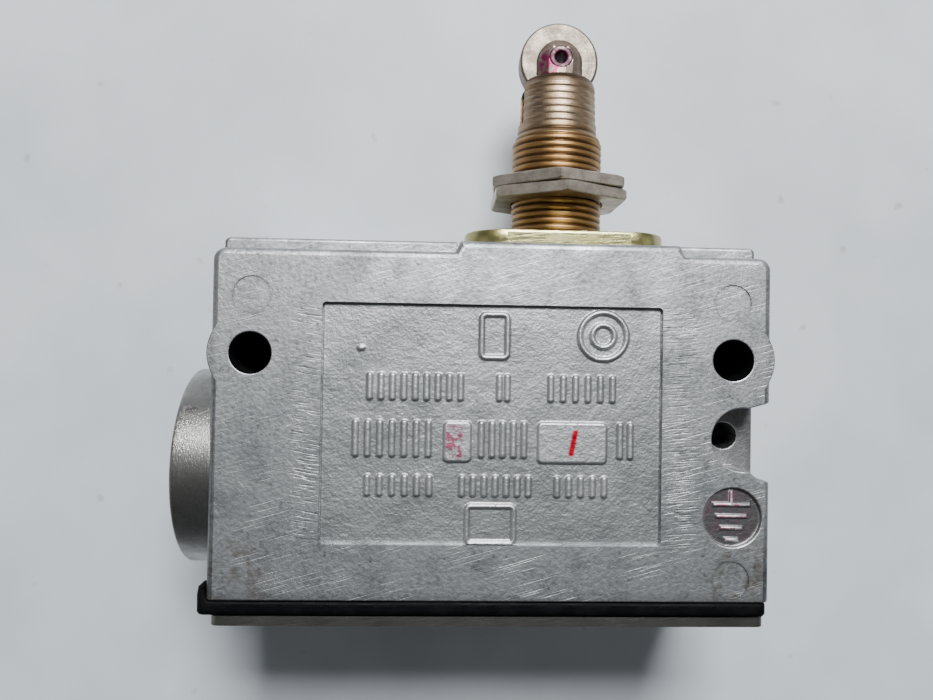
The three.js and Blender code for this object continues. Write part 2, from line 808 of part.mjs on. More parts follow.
function axleShape() {
  const outside = axleEnd;
  const inside = axleEnd - axleHeadThickness;
  return turned([
    [axleBoreRadius, -outside],
    [axleHeadRadius, -outside],
    [axleHeadRadius, -inside],
    [axleRadius, -inside],
    [axleRadius, inside],
    [axleHeadRadius, inside],
    [axleHeadRadius, outside],
    [axleBoreRadius, outside],
    [axleBoreRadius, -outside],
  ], smallSides).rotateX(Math.PI / 2).translate(actuatorX, axleY, axisZ);
}

// O-ring: a round section turned round the plunger's axis.
function sealShape() {
  const half = sealSection / 2;
  const middle = sealOuter - half;
  const sides = 8;
  const section = Array.from({ length: sides + 1 }, (_, i) => {
    const angle = ((i % sides) / sides) * 2 * Math.PI;
    return [middle + half * Math.cos(angle), sealY + half * Math.sin(angle)];
  });
  return turned(section, roundSides).translate(actuatorX, 0, axisZ);
}

function pinShape() {
  return turned([
    [0, pinBottom],
    [pinRadius - pinChamfer, pinBottom],
    [pinRadius, pinBottom + pinChamfer],
    [pinRadius, pinTop],
    [0, pinTop],
  ], smallSides).translate(actuatorX, 0, axisZ);
}

// ---------------------------------------------------------------------------
// Microswitch
// ---------------------------------------------------------------------------

const closedArmTop = bladeTop + contactHeight + contactHeight + 2 * faceGap + stripThickness;
const openArmTop = bladeBottom - contactHeight - tipDrop - faceGap - contactHeight - faceGap;
const closedLegX = tipX + closedLegOffset;
const openLegX = tipX - openLegOffset;
const commonLegX = pivotX - commonLegOffset;
const commonLegTop = bladeTop + commonLegAboveBlade;
const closedLegEnd = closedLegX + stripThickness;
const openLegEnd = openLegX + stripThickness;

// Legs stand on the feet: leg position, foot end, screw position.
const terminals = {
  common: { legX: commonLegX, legTop: commonLegTop, foot: [commonLegX, commonLegX + footWidth] },
  open: { legX: openLegX, legTop: openArmTop, foot: [openLegEnd - footWidth, openLegEnd] },
  closed: { legX: closedLegX, legTop: closedArmTop, foot: [tipX - closedFootReach, closedLegEnd] },
};
for (const terminal of Object.values(terminals)) {
  terminal.screwX = (terminal.foot[0] + terminal.foot[1]) / 2;
}

function terminalShape({ legX, legTop, foot, screwX }, arm) {
  const half = stripWidth / 2;
  const leg = block(legX, legX + stripThickness, footBottom, legTop, axisZ - half, axisZ + half);
  const base = block(foot[0], foot[1], footBottom, footTop, axisZ - footWidth / 2, axisZ + footWidth / 2);
  const solid = arm ? joined(leg, base, arm) : joined(leg, base);
  const radius = screwRadius + 2 * boreGap;
  return cut(solid, rodY(radius, screwX, axisZ, footBottom - past, footTop + past, smallSides));
}

function caseShape() {
  const box = block(caseLeft, caseRight, caseBottom, caseTop, caseBack, caseFront);
  const half = stripWidth / 2 + boreGap;
  const [low, high] = [caseBottom - past, roomBottom + past];
  const legSlots = Object.values(terminals).map(({ legX }) =>
    block(legX - boreGap, legX + stripThickness + boreGap, low, high, axisZ - half, axisZ + half));
  const holeTop = footBottom + terminalScrewLength + faceGap;
  const screwHoles = Object.values(terminals).map(({ screwX }) =>
    rodY(screwRadius + boreGap, screwX, axisZ, caseBottom - past, holeTop, smallSides));
  return cut(
    box,
    block(roomLeft, roomRight, roomBottom, roomTop, caseBack + caseWall, caseFront + past),
    rodY(buttonRadius + boreGap, actuatorX, axisZ, roomTop - past, caseTop + past, smallSides),
    ...legSlots,
    ...screwHoles,
    ...switchScrewHoles(caseBack - past, caseFront + past),
  );
}

function lidShape() {
  return cut(
    block(caseLeft, caseRight, caseBottom, caseTop, lidBack, lidFront),
    ...switchScrewHoles(lidBack - past, lidFront + past),
  );
}

function buttonShape() {
  const flangeTopY = roomTop - boreGap;
  return turned([
    [0, buttonTop],
    [buttonRadius - buttonChamfer, buttonTop],
    [buttonRadius, buttonTop - buttonChamfer],
    [buttonRadius, flangeTopY],
    [buttonFlange, flangeTopY],
    [buttonFlange, flangeTopY - buttonFlangeThickness],
    [contactRadius, flangeTopY - buttonFlangeThickness],
    [contactRadius, bladeTop + faceGap],
    [0, bladeTop + faceGap],
  ], smallSides).translate(actuatorX, 0, axisZ);
}

function bladeShape() {
  const half = bladeWidth / 2;
  const [start, end] = [pivotX + bladeSetback, tipX + bladeOverhang];
  const strip = block(start, end, bladeBottom, bladeTop, axisZ - half, axisZ + half);
  return cut(strip, rodY(contactWaist + boreGap, tipX, axisZ, bladeBottom - past, bladeTop + past, smallSides));
}

function movingContactShape() {
  const [y0, y1] = [bladeBottom - contactHeight, bladeTop + contactHeight];
  return turned([
    [0, y0],
    [contactRadius, y0],
    [contactRadius, bladeBottom - contactSlack],
    [contactWaist, bladeBottom - contactSlack],
    [contactWaist, bladeTop + contactSlack],
    [contactRadius, bladeTop + contactSlack],
    [contactRadius, y1],
    [0, y1],
  ], smallSides).translate(tipX, 0, axisZ);
}

// ---------------------------------------------------------------------------
// Cable inlet, turned round the Y axis and then laid along -X
// ---------------------------------------------------------------------------

function inletStack() {
  return bushingStem + inletWasherThickness + inletSealThickness + 3 * faceGap;
}

// Heights along the turning axis count inwards from the housing's side face.
function layInlet(shape) {
  return shape.rotateZ(-Math.PI / 2).translate(left, inletY, axisZ);
}

function bushingShape() {
  const low = -faceGap - bushingProud;
  const roundSteps = 4;
  const rim = Array.from({ length: roundSteps + 1 }, (_, i) => {
    const angle = (i / roundSteps) * (Math.PI / 2);
    return [
      bushingRadius - bushingRound + bushingRound * Math.sin(angle),
      low + bushingRound - bushingRound * Math.cos(angle),
    ];
  });
  return layInlet(turned([
    [cableRadius, low],
    ...rim,
    [bushingRadius, -faceGap],
    [bushingStemRadius, -faceGap],
    [bushingStemRadius, bushingStem],
    [cableRadius, bushingStem],
    [cableRadius, low],
  ], holeSides));
}

const washerStart = bushingStem + faceGap;
const sealStart = washerStart + inletWasherThickness + faceGap;

// ---------------------------------------------------------------------------
// Assembly
// ---------------------------------------------------------------------------

piece("housing", housingShape(), "castAluminium");
piece("cover_gasket", gasketShape(), "rubber");
piece("cover_plate", coverShape(), "steel");
for (const { name, x, z } of coverScrewPlaces) {
  const screw = sunkScrew(0, 0, 0, coverScrewLength + coverThickness).rotateX(Math.PI);
  piece(`cover_screw_${name}`, screw.translate(x, coverBottom, z), "steel");
}

piece("flange_plate", flangeShape(), "yellowZinc");
const flangeScrewNames = ["rear_left", "rear_right", "front_left", "front_right"];
flangeScrewPlaces().forEach(([x, z], i) => {
  piece(`flange_screw_${flangeScrewNames[i]}`, sunkScrew(x, z, flangeTop, flangeScrewLength), "yellowZinc");
});
piece("sleeve_gasket",
  ring(barrelRadius + boreGap, collarRadius, sleeveGasketBottom, sleeveGasketTop).translate(actuatorX, 0, axisZ),
  "rubber");
piece("threaded_sleeve", sleeveShape(), "brass");
piece("lock_nut_lower", nutShape(0), "nickelSteel");
piece("lock_nut_upper", nutShape(1), "nickelSteel");
piece("spring_seat",
  ring(stemRadius + slideGap, chamberRadius - slideGap, sleeveBottom, springSeatTop).translate(actuatorX, 0, axisZ),
  "steel");

piece("plunger", plungerShape(), "steel");
piece("roller_axle", axleShape(), "lacquer");
piece("roller", rollerShape(), "nickelSteel");
piece("plunger_seal", sealShape(), "rubber");
piece("return_spring",
  spring(returnSpringRadius, returnSpringWire, returnSpringTurns, actuatorX, axisZ, springSeatTop, shoulderBottom),
  "springSteel");
piece("overtravel_pin", pinShape(), "steel");
piece("overtravel_spring",
  spring(pinRadius - overtravelWire, overtravelWire, overtravelTurns, actuatorX, axisZ, pinTop, stemBoreTop),
  "springSteel");

const closedArm = block(tipX - armReach, closedLegEnd, closedArmTop - stripThickness, closedArmTop,
  axisZ - stripWidth / 2, axisZ + stripWidth / 2);
const openArm = block(openLegX, tipX + armReach, openArmTop - stripThickness, openArmTop,
  axisZ - stripWidth / 2, axisZ + stripWidth / 2);
piece("switch_case", caseShape(), "phenolic");
piece("switch_lid", lidShape(), "phenolic");
piece("switch_button", buttonShape(), "phenolic");
piece("contact_blade", bladeShape(), "brass");
piece("moving_contact", movingContactShape(), "silver");
piece("contact_spring",
  spring(contactSpringRadius, contactSpringWire, contactSpringTurns, pivotX + contactSpringArm, axisZ, roomBottom,
    bladeBottom),
  "springSteel");
piece("common_terminal", terminalShape(terminals.common), "brass");
piece("closed_terminal", terminalShape(terminals.closed, closedArm), "brass");
piece("open_terminal", terminalShape(terminals.open, openArm), "brass");
piece("closed_contact",
  rodY(contactRadius, tipX, axisZ, bladeTop + contactHeight + faceGap, closedArmTop - stripThickness - faceGap,
    smallSides),
  "silver");
piece("open_contact",
  rodY(contactRadius, tipX, axisZ, openArmTop + faceGap, openArmTop + faceGap + contactHeight, smallSides),
  "silver");
for (const [name, { screwX }] of Object.entries(terminals)) {
  const screw = cheeseScrew(footBottom - faceGap, terminalScrewLength).translate(screwX, 0, axisZ);
  piece(`terminal_screw_${name}`, screw, "steel");
}
["left", "right"].forEach((side, i) => {
  const screw = cheeseScrew(0, lidFront - frontWall - switchScrewShort).rotateX(-Math.PI / 2);
  piece(`switch_screw_${side}`, screw.translate(switchScrewXs[i], switchScrewY, lidFront + faceGap), "steel");
});

piece("inlet_bushing", bushingShape(), "turnedAluminium");
piece("inlet_washer",
  layInlet(ring(cableRadius, bushingStemRadius, washerStart, washerStart + inletWasherThickness)), "steel");
piece("inlet_seal",
  layInlet(ring(inletSealBore, bushingStemRadius, sealStart, sealStart + inletSealThickness)), "rubber");

export default limitSwitch;
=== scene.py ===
# %% [markdown]
# # A limit switch with a roller plunger
# The switch is an old die-cast aluminium box. A brass sleeve with a fine thread screws it into a machine,
# and a steel roller on the end of a plunger works the contacts inside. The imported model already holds
# every piece at its size, so this lesson only gives the pieces their fine shape and their finish.
# The frame comes first, because every piece takes its place and its size from it.

# %% Load the frame
import json
import math

import bmesh
import bpy
import numpy as np
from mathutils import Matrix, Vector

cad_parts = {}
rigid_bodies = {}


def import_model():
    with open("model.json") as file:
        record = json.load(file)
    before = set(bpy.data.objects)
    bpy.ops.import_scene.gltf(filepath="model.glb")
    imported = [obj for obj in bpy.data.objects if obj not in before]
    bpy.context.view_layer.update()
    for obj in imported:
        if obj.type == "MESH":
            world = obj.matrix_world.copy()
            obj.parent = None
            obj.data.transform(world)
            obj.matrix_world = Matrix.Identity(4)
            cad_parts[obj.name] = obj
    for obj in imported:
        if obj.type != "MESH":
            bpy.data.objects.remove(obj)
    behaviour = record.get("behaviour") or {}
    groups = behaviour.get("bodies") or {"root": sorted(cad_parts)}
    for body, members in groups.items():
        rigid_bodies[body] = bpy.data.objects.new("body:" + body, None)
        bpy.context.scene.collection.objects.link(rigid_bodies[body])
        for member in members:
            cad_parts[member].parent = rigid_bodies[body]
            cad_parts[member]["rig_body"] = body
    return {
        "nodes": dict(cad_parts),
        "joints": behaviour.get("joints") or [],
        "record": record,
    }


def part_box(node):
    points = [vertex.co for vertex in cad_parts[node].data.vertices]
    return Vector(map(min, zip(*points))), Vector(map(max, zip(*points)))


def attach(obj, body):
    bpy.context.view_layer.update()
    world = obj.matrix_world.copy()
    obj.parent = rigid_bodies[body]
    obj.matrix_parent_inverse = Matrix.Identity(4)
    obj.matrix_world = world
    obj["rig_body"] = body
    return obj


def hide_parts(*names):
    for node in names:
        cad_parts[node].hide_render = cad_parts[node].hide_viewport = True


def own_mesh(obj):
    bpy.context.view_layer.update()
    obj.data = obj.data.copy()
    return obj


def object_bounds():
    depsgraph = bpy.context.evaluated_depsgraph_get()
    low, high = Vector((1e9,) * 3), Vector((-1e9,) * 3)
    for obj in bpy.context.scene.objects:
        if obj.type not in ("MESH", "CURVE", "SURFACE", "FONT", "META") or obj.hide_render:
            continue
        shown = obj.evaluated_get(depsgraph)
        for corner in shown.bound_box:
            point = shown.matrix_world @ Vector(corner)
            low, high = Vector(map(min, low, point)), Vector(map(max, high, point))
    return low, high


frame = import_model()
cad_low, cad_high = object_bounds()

MM = 0.001
scene = bpy.context.scene
slot_of = {part["node"]: part["material_slot"] for part in frame["record"]["subparts"]}


def box_mm(node):
    """Lowest corner, highest corner and middle of a CAD node, mm."""
    low, high = (np.array(corner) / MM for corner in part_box(node))
    return low, high, (low + high) / 2


print(len(slot_of), "pieces in", len(set(slot_of.values())), "finishes")

# %% [markdown]
# ## Camera
# A small camera is held right above the switch, which lies on its back. It is so near that the front face
# looks larger than the back, and the sides of the box lean outwards, so the lens is wide and close by.
# A long lens further off would be easier to place, but it would flatten the box.

# %% Camera
CAMERA_PLACE = (-6.73, -0.76, 118.5)
CAMERA_TURN = (0.92, -2.25, 0.93)
FOCAL_LENGTH = 29.65


def place_camera():
    """A camera above the front face: place in mm, turn in degrees."""
    lens = bpy.data.cameras.new("camera")
    lens.sensor_width = 36
    lens.lens = FOCAL_LENGTH
    lens.clip_start = 5 * MM
    camera = bpy.data.objects.new("camera", lens)
    camera.location = [value * MM for value in CAMERA_PLACE]
    camera.rotation_euler = [math.radians(angle) for angle in CAMERA_TURN]
    scene.collection.objects.link(camera)
    scene.camera = camera
    return camera


print("camera", [round(value / MM, 1) for value in place_camera().location])

# %% [markdown]
# ## Light
# One large soft light hangs above the table beyond the head of the switch. Its light falls at a slant
# towards the cover, so the top of the metal face shines, the bottom stays grey, and a soft shadow lies below
# the cover. A weak light from each side and a dim sky keep the flanks readable. A sky picture would give
# richer reflections, but plain lights are enough for matt metal.

# %% Lights
# Place and size in mm, power in watts and colour of each light.
LIGHTS = {
    "window": ((50, 380, 530), (260, 220), 8.5, (0.97, 0.99, 1.0)),
    "left_fill": ((-520, -60, 260), (300, 300), 0.2, (1.0, 0.99, 0.97)),
    "right_fill": ((520, 60, 260), (300, 300), 0.2, (1.0, 0.99, 0.97)),
}
SKY_STRENGTH = 0.10
SKY_COLOUR = (0.86, 0.90, 0.94, 1.0)


def hang_light(name, place, size, power, colour):
    """A rectangular light that faces the switch: place and size in mm, power in watts."""
    lamp = bpy.data.lights.new(name, "AREA")
    lamp.shape = "RECTANGLE"
    lamp.size, lamp.size_y = (side * MM for side in size)
    lamp.energy = power
    lamp.color = colour
    light = bpy.data.objects.new(name, lamp)
    light.location = [value * MM for value in place]
    light.rotation_euler = light.location.to_track_quat("Z", "Y").to_euler()
    light.visible_camera = False
    scene.collection.objects.link(light)


for name, values in LIGHTS.items():
    hang_light(name, *values)
sky = bpy.data.worlds.new("dim_sky")
sky.use_nodes = True
glow = sky.node_tree.nodes["Background"].inputs
glow["Color"].default_value = SKY_COLOUR
glow["Strength"].default_value = SKY_STRENGTH
scene.world = sky
print(len(LIGHTS), "lights")

# %% [markdown]
# ## Tools for finishes
# A finish is a small tree of nodes. Patterns are placed by Object coordinates, which are metres here, so a
# pattern's scale is one over its real size. Colours are written as sRGB hex values, as on a colour card, and
# one function turns them to the linear values that a shader mixes.

# %% Colours, nodes and materials
BLACK, WHITE = "#000000", "#ffffff"


def linear(hex_value):
    """Each sRGB channel c becomes c / 12.92 near black and ((c + 0.055) / 1.055) ** 2.4 above it."""
    channels = np.array([int(hex_value[i:i + 2], 16) for i in (1, 3, 5)]) / 255
    curve = np.where(channels <= 0.04045, channels / 12.92, ((channels + 0.055) / 1.055) ** 2.4)
    return (*curve.tolist(), 1.0)


def add(tree, kind, inputs, output=0, stops=None, **settings):
    """Adds one node and returns an output; inputs are values or outputs, stops the colours of a ramp."""
    node = tree.nodes.new("ShaderNode" + kind)
    for key, value in settings.items():
        setattr(node, key, value)
    for key, value in inputs.items():
        if isinstance(value, bpy.types.NodeSocket):
            tree.links.new(value, node.inputs[key])
        else:
            node.inputs[key].default_value = value
    for index, (position, colour) in enumerate(stops or []):
        marks = node.color_ramp.elements
        mark = marks[index] if index < 2 else marks.new(position)
        mark.position = position
        mark.color = linear(colour)
    return node.outputs[output] if node.outputs else None


def per_mm(size):
    """The scale that makes a pattern's features about that many millimetres wide."""
    return 1 / (size * MM)


def new_material(name, build, **values):
    """A material whose surface is what build returns for its tree and the place on the object."""
    material = bpy.data.materials.new(name)
    material.use_nodes = True
    tree = material.node_tree
    tree.nodes.clear()
    place = add(tree, "TexCoord", {}, output="Object")
    add(tree, "OutputMaterial", {"Surface": build(tree, place, **values)})
    return material


print("mid grey in linear light:", round(linear("#808080")[0], 3))

# %% [markdown]
# ## Strokes and clouds
# Every finish here is a play of two things. Clouds are soft patches where the skin is cleaner or greasier,
# and strokes are the thin marks of a file, a cutter or long use. A stroke is a cloud stretched along one
# direction and cut off at a level, which needs no picture and keeps its real width.

# %% Patterns
def clouds(tree, place, size, detail=3.0):
    """A soft pattern from 0 to 1 with features of that size in mm."""
    inputs = {"Vector": place, "Scale": per_mm(size), "Detail": detail, "Roughness": 0.6}
    return add(tree, "TexNoise", inputs)


def stretched(tree, place, lengths, angle=0.0, **inputs):
    """A soft pattern with features of those lengths in mm along X, Y and Z, turned about Z, degrees."""
    turn, scale = (0, 0, math.radians(angle)), [length * MM for length in lengths]
    along = add(tree, "Mapping", {"Vector": place, "Rotation": turn, "Scale": scale}, vector_type="TEXTURE")
    return add(tree, "TexNoise", {"Vector": along, "Scale": 1.0, **inputs})


def tones(tree, pattern, low, dark, high, light):
    """A colour that is dark where the pattern is at low or less, and light where it is at high or more."""
    return add(tree, "ValToRGB", {"Fac": pattern}, stops=[(low, dark), (high, light)])


def strokes(tree, place, angle, length, width, level=0.62):
    """Thin marks of that length and width in mm; the higher the level, the fewer they are."""
    wave = stretched(tree, place, (length, width, width), angle, Detail=1.0)
    return tones(tree, wave, level, BLACK, level + 0.08, WHITE)


def spread(tree, value, low, high, first=0.0, last=1.0):
    """Turns low to high into first to last, and holds those outside."""
    return add(tree, "MapRange", {"Value": value, 1: low, 2: high, 3: first, 4: last})


def reckon(tree, operation, *values):
    """One step of arithmetic on numbers or outputs."""
    return add(tree, "Math", dict(enumerate(values)), operation=operation)


def times(tree, first, *others):
    """The product of patterns and numbers."""
    for other in others:
        first = reckon(tree, "MULTIPLY", first, other)
    return first


def weighed(tree, first, weight, second):
    """first times weight plus second."""
    return reckon(tree, "MULTIPLY_ADD", first, weight, second)


def mixed(tree, factor, first, second):
    """Blends two colours by a factor: hex values or outputs."""
    colours = [linear(colour) if isinstance(colour, str) else colour for colour in (first, second)]
    return add(tree, "Mix", {0: factor, 6: colours[0], 7: colours[1]}, output=2, data_type="RGBA")


def layered(tree, colour, layers):
    """Lays each (pattern, strength, tint) over the colour in turn."""
    for pattern, strength, tint in layers:
        colour = mixed(tree, times(tree, pattern, strength), colour, tint)
    return colour


def surface(tree, colour, rough, pattern, depth, **sockets):
    """A surface of that colour and roughness, with the pattern as a relief depth mm deep."""
    bump = add(tree, "Bump", {"Height": pattern, "Distance": depth * MM, "Strength": 1.0})
    inputs = {"Base Color": colour, "Roughness": rough, "Normal": bump, **sockets}
    return add(tree, "BsdfPrincipled", inputs)


def metal(tree, colour, rough, pattern, depth):
    """A surface of bare or plated metal."""
    return surface(tree, colour, rough, pattern, depth, Metallic=1.0)


# %% [markdown]
# ## Where a mark lies
# Some marks belong to one spot: a ring left by an ejector pin, a stained corner, the painted shade inside a
# bore. Each is a function of the distance from a line, a point or an axis, given in mm in the shared frame. A
# painted picture would need a flat map of the surface, which these distances do without.

# %% Patterns at a place
def axis_place(tree, place, axis):
    """The X, Y or Z of the place, m."""
    return add(tree, "SeparateXYZ", {"Vector": place}, output=axis)


def from_point(tree, place, point):
    """Distance of the place from a point given in mm, m."""
    where = [value * MM for value in point]
    return add(tree, "VectorMath", {0: place, 1: where}, output="Value", operation="DISTANCE")


def from_axis(tree, place, point, axis):
    """Distance of the place from the line through a point, given in mm, along axis 0, 1 or 2, m."""
    scale = [float(index != axis) for index in range(3)]
    shift = [-value * MM * part for value, part in zip(point, scale)]
    beside = add(tree, "Mapping", {"Vector": place, "Location": shift, "Scale": scale})
    return add(tree, "VectorMath", {0: beside}, output="Value", operation="LENGTH")


def near_line(tree, value, line, reach):
    """1 where the value is line mm, falling to 0 at reach mm from it."""
    away = reckon(tree, "ABSOLUTE", reckon(tree, "SUBTRACT", value, line * MM))
    return spread(tree, away, 0.0, reach * MM, 1.0, 0.0)


def near_point(tree, place, point, reach):
    """1 within most of reach mm of a point, given in mm, and 0 outside it."""
    return spread(tree, from_point(tree, place, point), 0.8 * reach * MM, reach * MM, 1.0, 0.0)


def near_ring(tree, place, point, radius, width):
    """1 on a circle round a point, falling to 0 at width mm from it."""
    return near_line(tree, from_point(tree, place, point), radius, width)


# %% [markdown]
# ## Die-cast aluminium
# The box is cast from molten aluminium pressed into a steel mould. Its skin is grey, matt and mottled, with
# small pits and darker smudges. The front has been rubbed flat with a file, which left long shallow
# scratches that rise to the right, and short tears beside the sunk field. The mould's ejector pins left
# faint rings, and dirt lies in the lower corners. The skin is darker in a band near the lower edge of the box
# and along both sides. Red paint was dabbed on the earth symbol and has mostly worn off.

# %% Cast aluminium
FRONT = cad_high.z / MM
FIELD_LOW, FIELD_HIGH = np.array([-19.88, -21.74]), np.array([19.62, 6.02])
# Places on the front, mm: x and y.
EARTH_MARK = (28.05, -18.3)
EJECTOR_RINGS = ((-27.9, 6.7), (27.9, 6.7), (27.9, -25.55))
STAINED_CORNERS = ((-30.5, -26.5), (30.5, -26.5))
HOLES = ((-28.0, 0.0), (28.0, 0.0))
# The foot of the hollow for the screw on the right: x, y and z, mm.
SCREW_SEAT = (31.0, -9.25, 24.4)


def tears(tree, place, x_place, y_place):
    """Short ragged tears in a band on each side of the sunk field."""
    beside = spread(tree, near_line(tree, y_place, (FIELD_LOW[1] + FIELD_HIGH[1]) / 2, 14.5), 0.0, 0.12)
    ragged = spread(tree, clouds(tree, place, 3.0), 0.38, 0.62, 0.15, 1.0)
    left_torn = strokes(tree, place, -9, 4.0, 0.24, 0.55)
    right_torn = strokes(tree, place, 5, 5.0, 0.2, 0.52)
    left = times(tree, near_line(tree, x_place, FIELD_LOW[0] - 1.5, 2.4), left_torn)
    right = times(tree, near_line(tree, x_place, FIELD_HIGH[0] + 2.2, 2.8), right_torn)
    return times(tree, beside, reckon(tree, "ADD", left, right), ragged)


def earth_symbol(tree, place, height):
    """1 in the hollow of the earth symbol, and 1 on the bars that stand in it just below the front."""
    disc = near_point(tree, place, (*EARTH_MARK, FRONT), 3.9)
    sunk = spread(tree, height, (FRONT - 0.44) * MM, (FRONT - 0.30) * MM, 1.0, 0.0)
    proud = spread(tree, height, (FRONT - 0.30) * MM, (FRONT - 0.255) * MM)
    below = spread(tree, height, (FRONT - 0.20) * MM, (FRONT - 0.10) * MM, 1.0, 0.0)
    return times(tree, disc, sunk), times(tree, disc, proud, below)


def front_marks(tree, place, x_place, height):
    """Layers of colour that belong to one spot: mould marks, stains, paint, and painted shade and highlight.
    """
    ring_radius, ring_width, stain_reach = 2.15, 0.28, 6.0
    bore_inside, bore_outside = 2.42 * MM, 2.47 * MM
    layers = []
    for spot in EJECTOR_RINGS:
        rim = near_ring(tree, place, (*spot, FRONT), ring_radius, ring_width)
        layers.append((rim, 0.4, "#5c5d5f"))
    blotch = spread(tree, clouds(tree, place, 1.4, 4.0), 0.48, 0.64)
    for spot in STAINED_CORNERS:
        corner = near_point(tree, place, (*spot, FRONT), stain_reach)
        layers.append((times(tree, corner, blotch), 0.55, "#6a5f52"))
    hollow, bars = earth_symbol(tree, place, height)
    kept = weighed(tree, hollow, 0.08, times(tree, bars, 0.8))
    paint = spread(tree, clouds(tree, place, 1.2), 0.42, 0.56)
    # Painted shade and highlight: the hollow of the earth symbol is painted dark, and its bars near white.
    layers += [(hollow, 0.8, "#515153"), (bars, 1.0, "#dcdee0"), (times(tree, kept, paint), 1.0, "#b02c5a")]
    # Painted shade: the walls of the two screw holes are painted near black.
    for spot in HOLES:
        away = from_axis(tree, place, (*spot, 0.0), 2)
        layers.append((spread(tree, away, bore_inside, bore_outside, 1.0, 0.0), 0.9, "#161617"))
    seat = near_point(tree, place, SCREW_SEAT, 6.5)
    deep = spread(tree, height, 24.6 * MM, 25.4 * MM, 1.0, 0.0)
    inside = spread(tree, x_place, 32.25 * MM, 32.40 * MM, 1.0, 0.0)
    layers.append((times(tree, seat, deep, inside), 0.5, "#6b6662"))
    return layers


def cast_aluminium(tree, place):
    """Cast skin: clouds, mottle, pits and smudges under file strokes, scratches, tears and darker edges."""
    x_place, y_place, height = (axis_place(tree, place, axis) for axis in "XYZ")
    patches = clouds(tree, place, 6.0, 4.0)
    mottle = clouds(tree, place, 0.5, 5.0)
    pits = spread(tree, clouds(tree, place, 0.9, 5.0), 0.40, 0.28)
    smudges = spread(tree, clouds(tree, place, 3.5, 5.0), 0.50, 0.72)
    rubbed = spread(tree, clouds(tree, place, 9.0, 2.0), 0.40, 0.62, 0.15, 1.0)
    filed = strokes(tree, place, 16, 7.0, 0.15, 0.62)
    crossed = strokes(tree, place, -48, 4.0, 0.13, 0.68)
    scored = strokes(tree, place, 14, 14.0, 0.13, 0.72)
    torn = tears(tree, place, x_place, y_place)
    # The skin is darker in a band near the lower edge of the box and along both sides.
    darker_edges = near_line(tree, y_place, cad_low.y / MM + 2.9, 1.3)
    for side in (-32.4, 32.4):
        darker_edges = reckon(tree, "MAXIMUM", darker_edges, near_line(tree, x_place, side, 0.8))
    layers = [
        (weighed(tree, mottle, 1.5, -0.50), 1.0, "#caccce"),
        (pits, 0.6, "#4f5052"),
        (smudges, 0.5, "#5b5d5f"),
        (darker_edges, 0.4, "#47484a"),
        (times(tree, filed, rubbed), 0.5, "#d2d4d6"),
        (times(tree, crossed, rubbed), 0.35, "#636466"),
        (scored, 0.3, "#5f6062"),
        (torn, 0.6, "#606264"),
        *front_marks(tree, place, x_place, height),
    ]
    colour = layered(tree, tones(tree, patches, 0.36, "#7c7e80", 0.64, "#b2b4b6"), layers)
    rough = spread(tree, patches, 0.3, 0.7, 0.54, 0.42)
    cuts = times(tree, reckon(tree, "ADD", filed, scored), rubbed)
    relief = mottle
    for pattern, weight in ((torn, -0.6), (crossed, -0.1), (cuts, -0.22)):
        relief = weighed(tree, pattern, weight, relief)
    return metal(tree, colour, rough, relief, 0.05)


def cast_floor(tree, place):
    """The untouched skin of the sunk field, with paint left on the two pads and a painted highlight on its
    raised marks.
    """
    grain = clouds(tree, place, 0.32, 4.0)
    patches = clouds(tree, place, 6.0, 3.0)
    height = axis_place(tree, place, "Z")
    marks = spread(tree, height, (FRONT - 0.46) * MM, (FRONT - 0.30) * MM)
    # Painted highlight: the raised marks are painted lighter than the floor around them.
    layers = [(weighed(tree, grain, 1.2, -0.36), 1.0, "#c6c8ca"), (marks, 0.5, "#d2d4d6")]
    for name, tint, level in (("small_paint", "#b0607a", 0.46), ("large_paint", "#c41230", 0.28)):
        dab = add(tree, "Attribute", {}, output="Fac", attribute_name=name, attribute_type="GEOMETRY")
        patchy = spread(tree, clouds(tree, place, 0.7), level, level + 0.08)
        layers.append((times(tree, dab, patchy), 1.0, tint))
    colour = layered(tree, tones(tree, patches, 0.35, "#868889", 0.65, "#aaacad"), layers)
    rough = spread(tree, grain, 0.3, 0.7, 0.52, 0.40)
    return metal(tree, colour, rough, grain, 0.055)


# %% [markdown]
# ## Machined, plated and drawn metal
# The other metals differ in colour and in the marks of their making: rings from a lathe, the skin of a
# plating bath, the lines of a drawing die. One recipe with a few values covers most of them, so that each
# finish states only what sets it apart. The roller, the plunger and the sleeve have their own.

# %% Worn metal
def worn_metal(tree, place, dark, light, rough, patch, mark, stain=None, angle=0, depth=0.02):
    """Two tones in patches of that size in mm, crossed by marks (length, width) in the stain's colour."""
    patches = clouds(tree, place, patch, 4.0)
    grain = clouds(tree, place, patch / 12, 2.0)
    lines = strokes(tree, place, angle, *mark, 0.52)
    layers = [(lines, 0.35, stain or dark), (weighed(tree, grain, 0.5, -0.15), 1.0, light)]
    colour = layered(tree, tones(tree, patches, 0.36, dark, 0.64, light), layers)
    gloss = spread(tree, patches, 0.3, 0.7, rough + 0.08, rough - 0.06)
    return metal(tree, colour, gloss, weighed(tree, lines, -0.6, grain), depth)


def ringed_steel(tree, place):
    """The roller's steel, with fine rings from the lathe: a pattern of the distance from its axis."""
    radius = from_axis(tree, place, box_mm("roller")[2], 2)
    inputs = {"W": radius, "Scale": per_mm(0.16), "Detail": 2.0}
    rings = add(tree, "TexNoise", inputs, noise_dimensions="1D")
    patches = clouds(tree, place, 1.6, 4.0)
    tone = tones(tree, patches, 0.34, "#5f564d", 0.66, "#82786d")
    colour = layered(tree, tone, [(spread(tree, rings, 0.5, 0.75), 0.5, "#5d5149")])
    rough = spread(tree, patches, 0.3, 0.7, 0.46, 0.34)
    return metal(tree, colour, rough, weighed(tree, rings, 0.6, clouds(tree, place, 0.2)), 0.02)


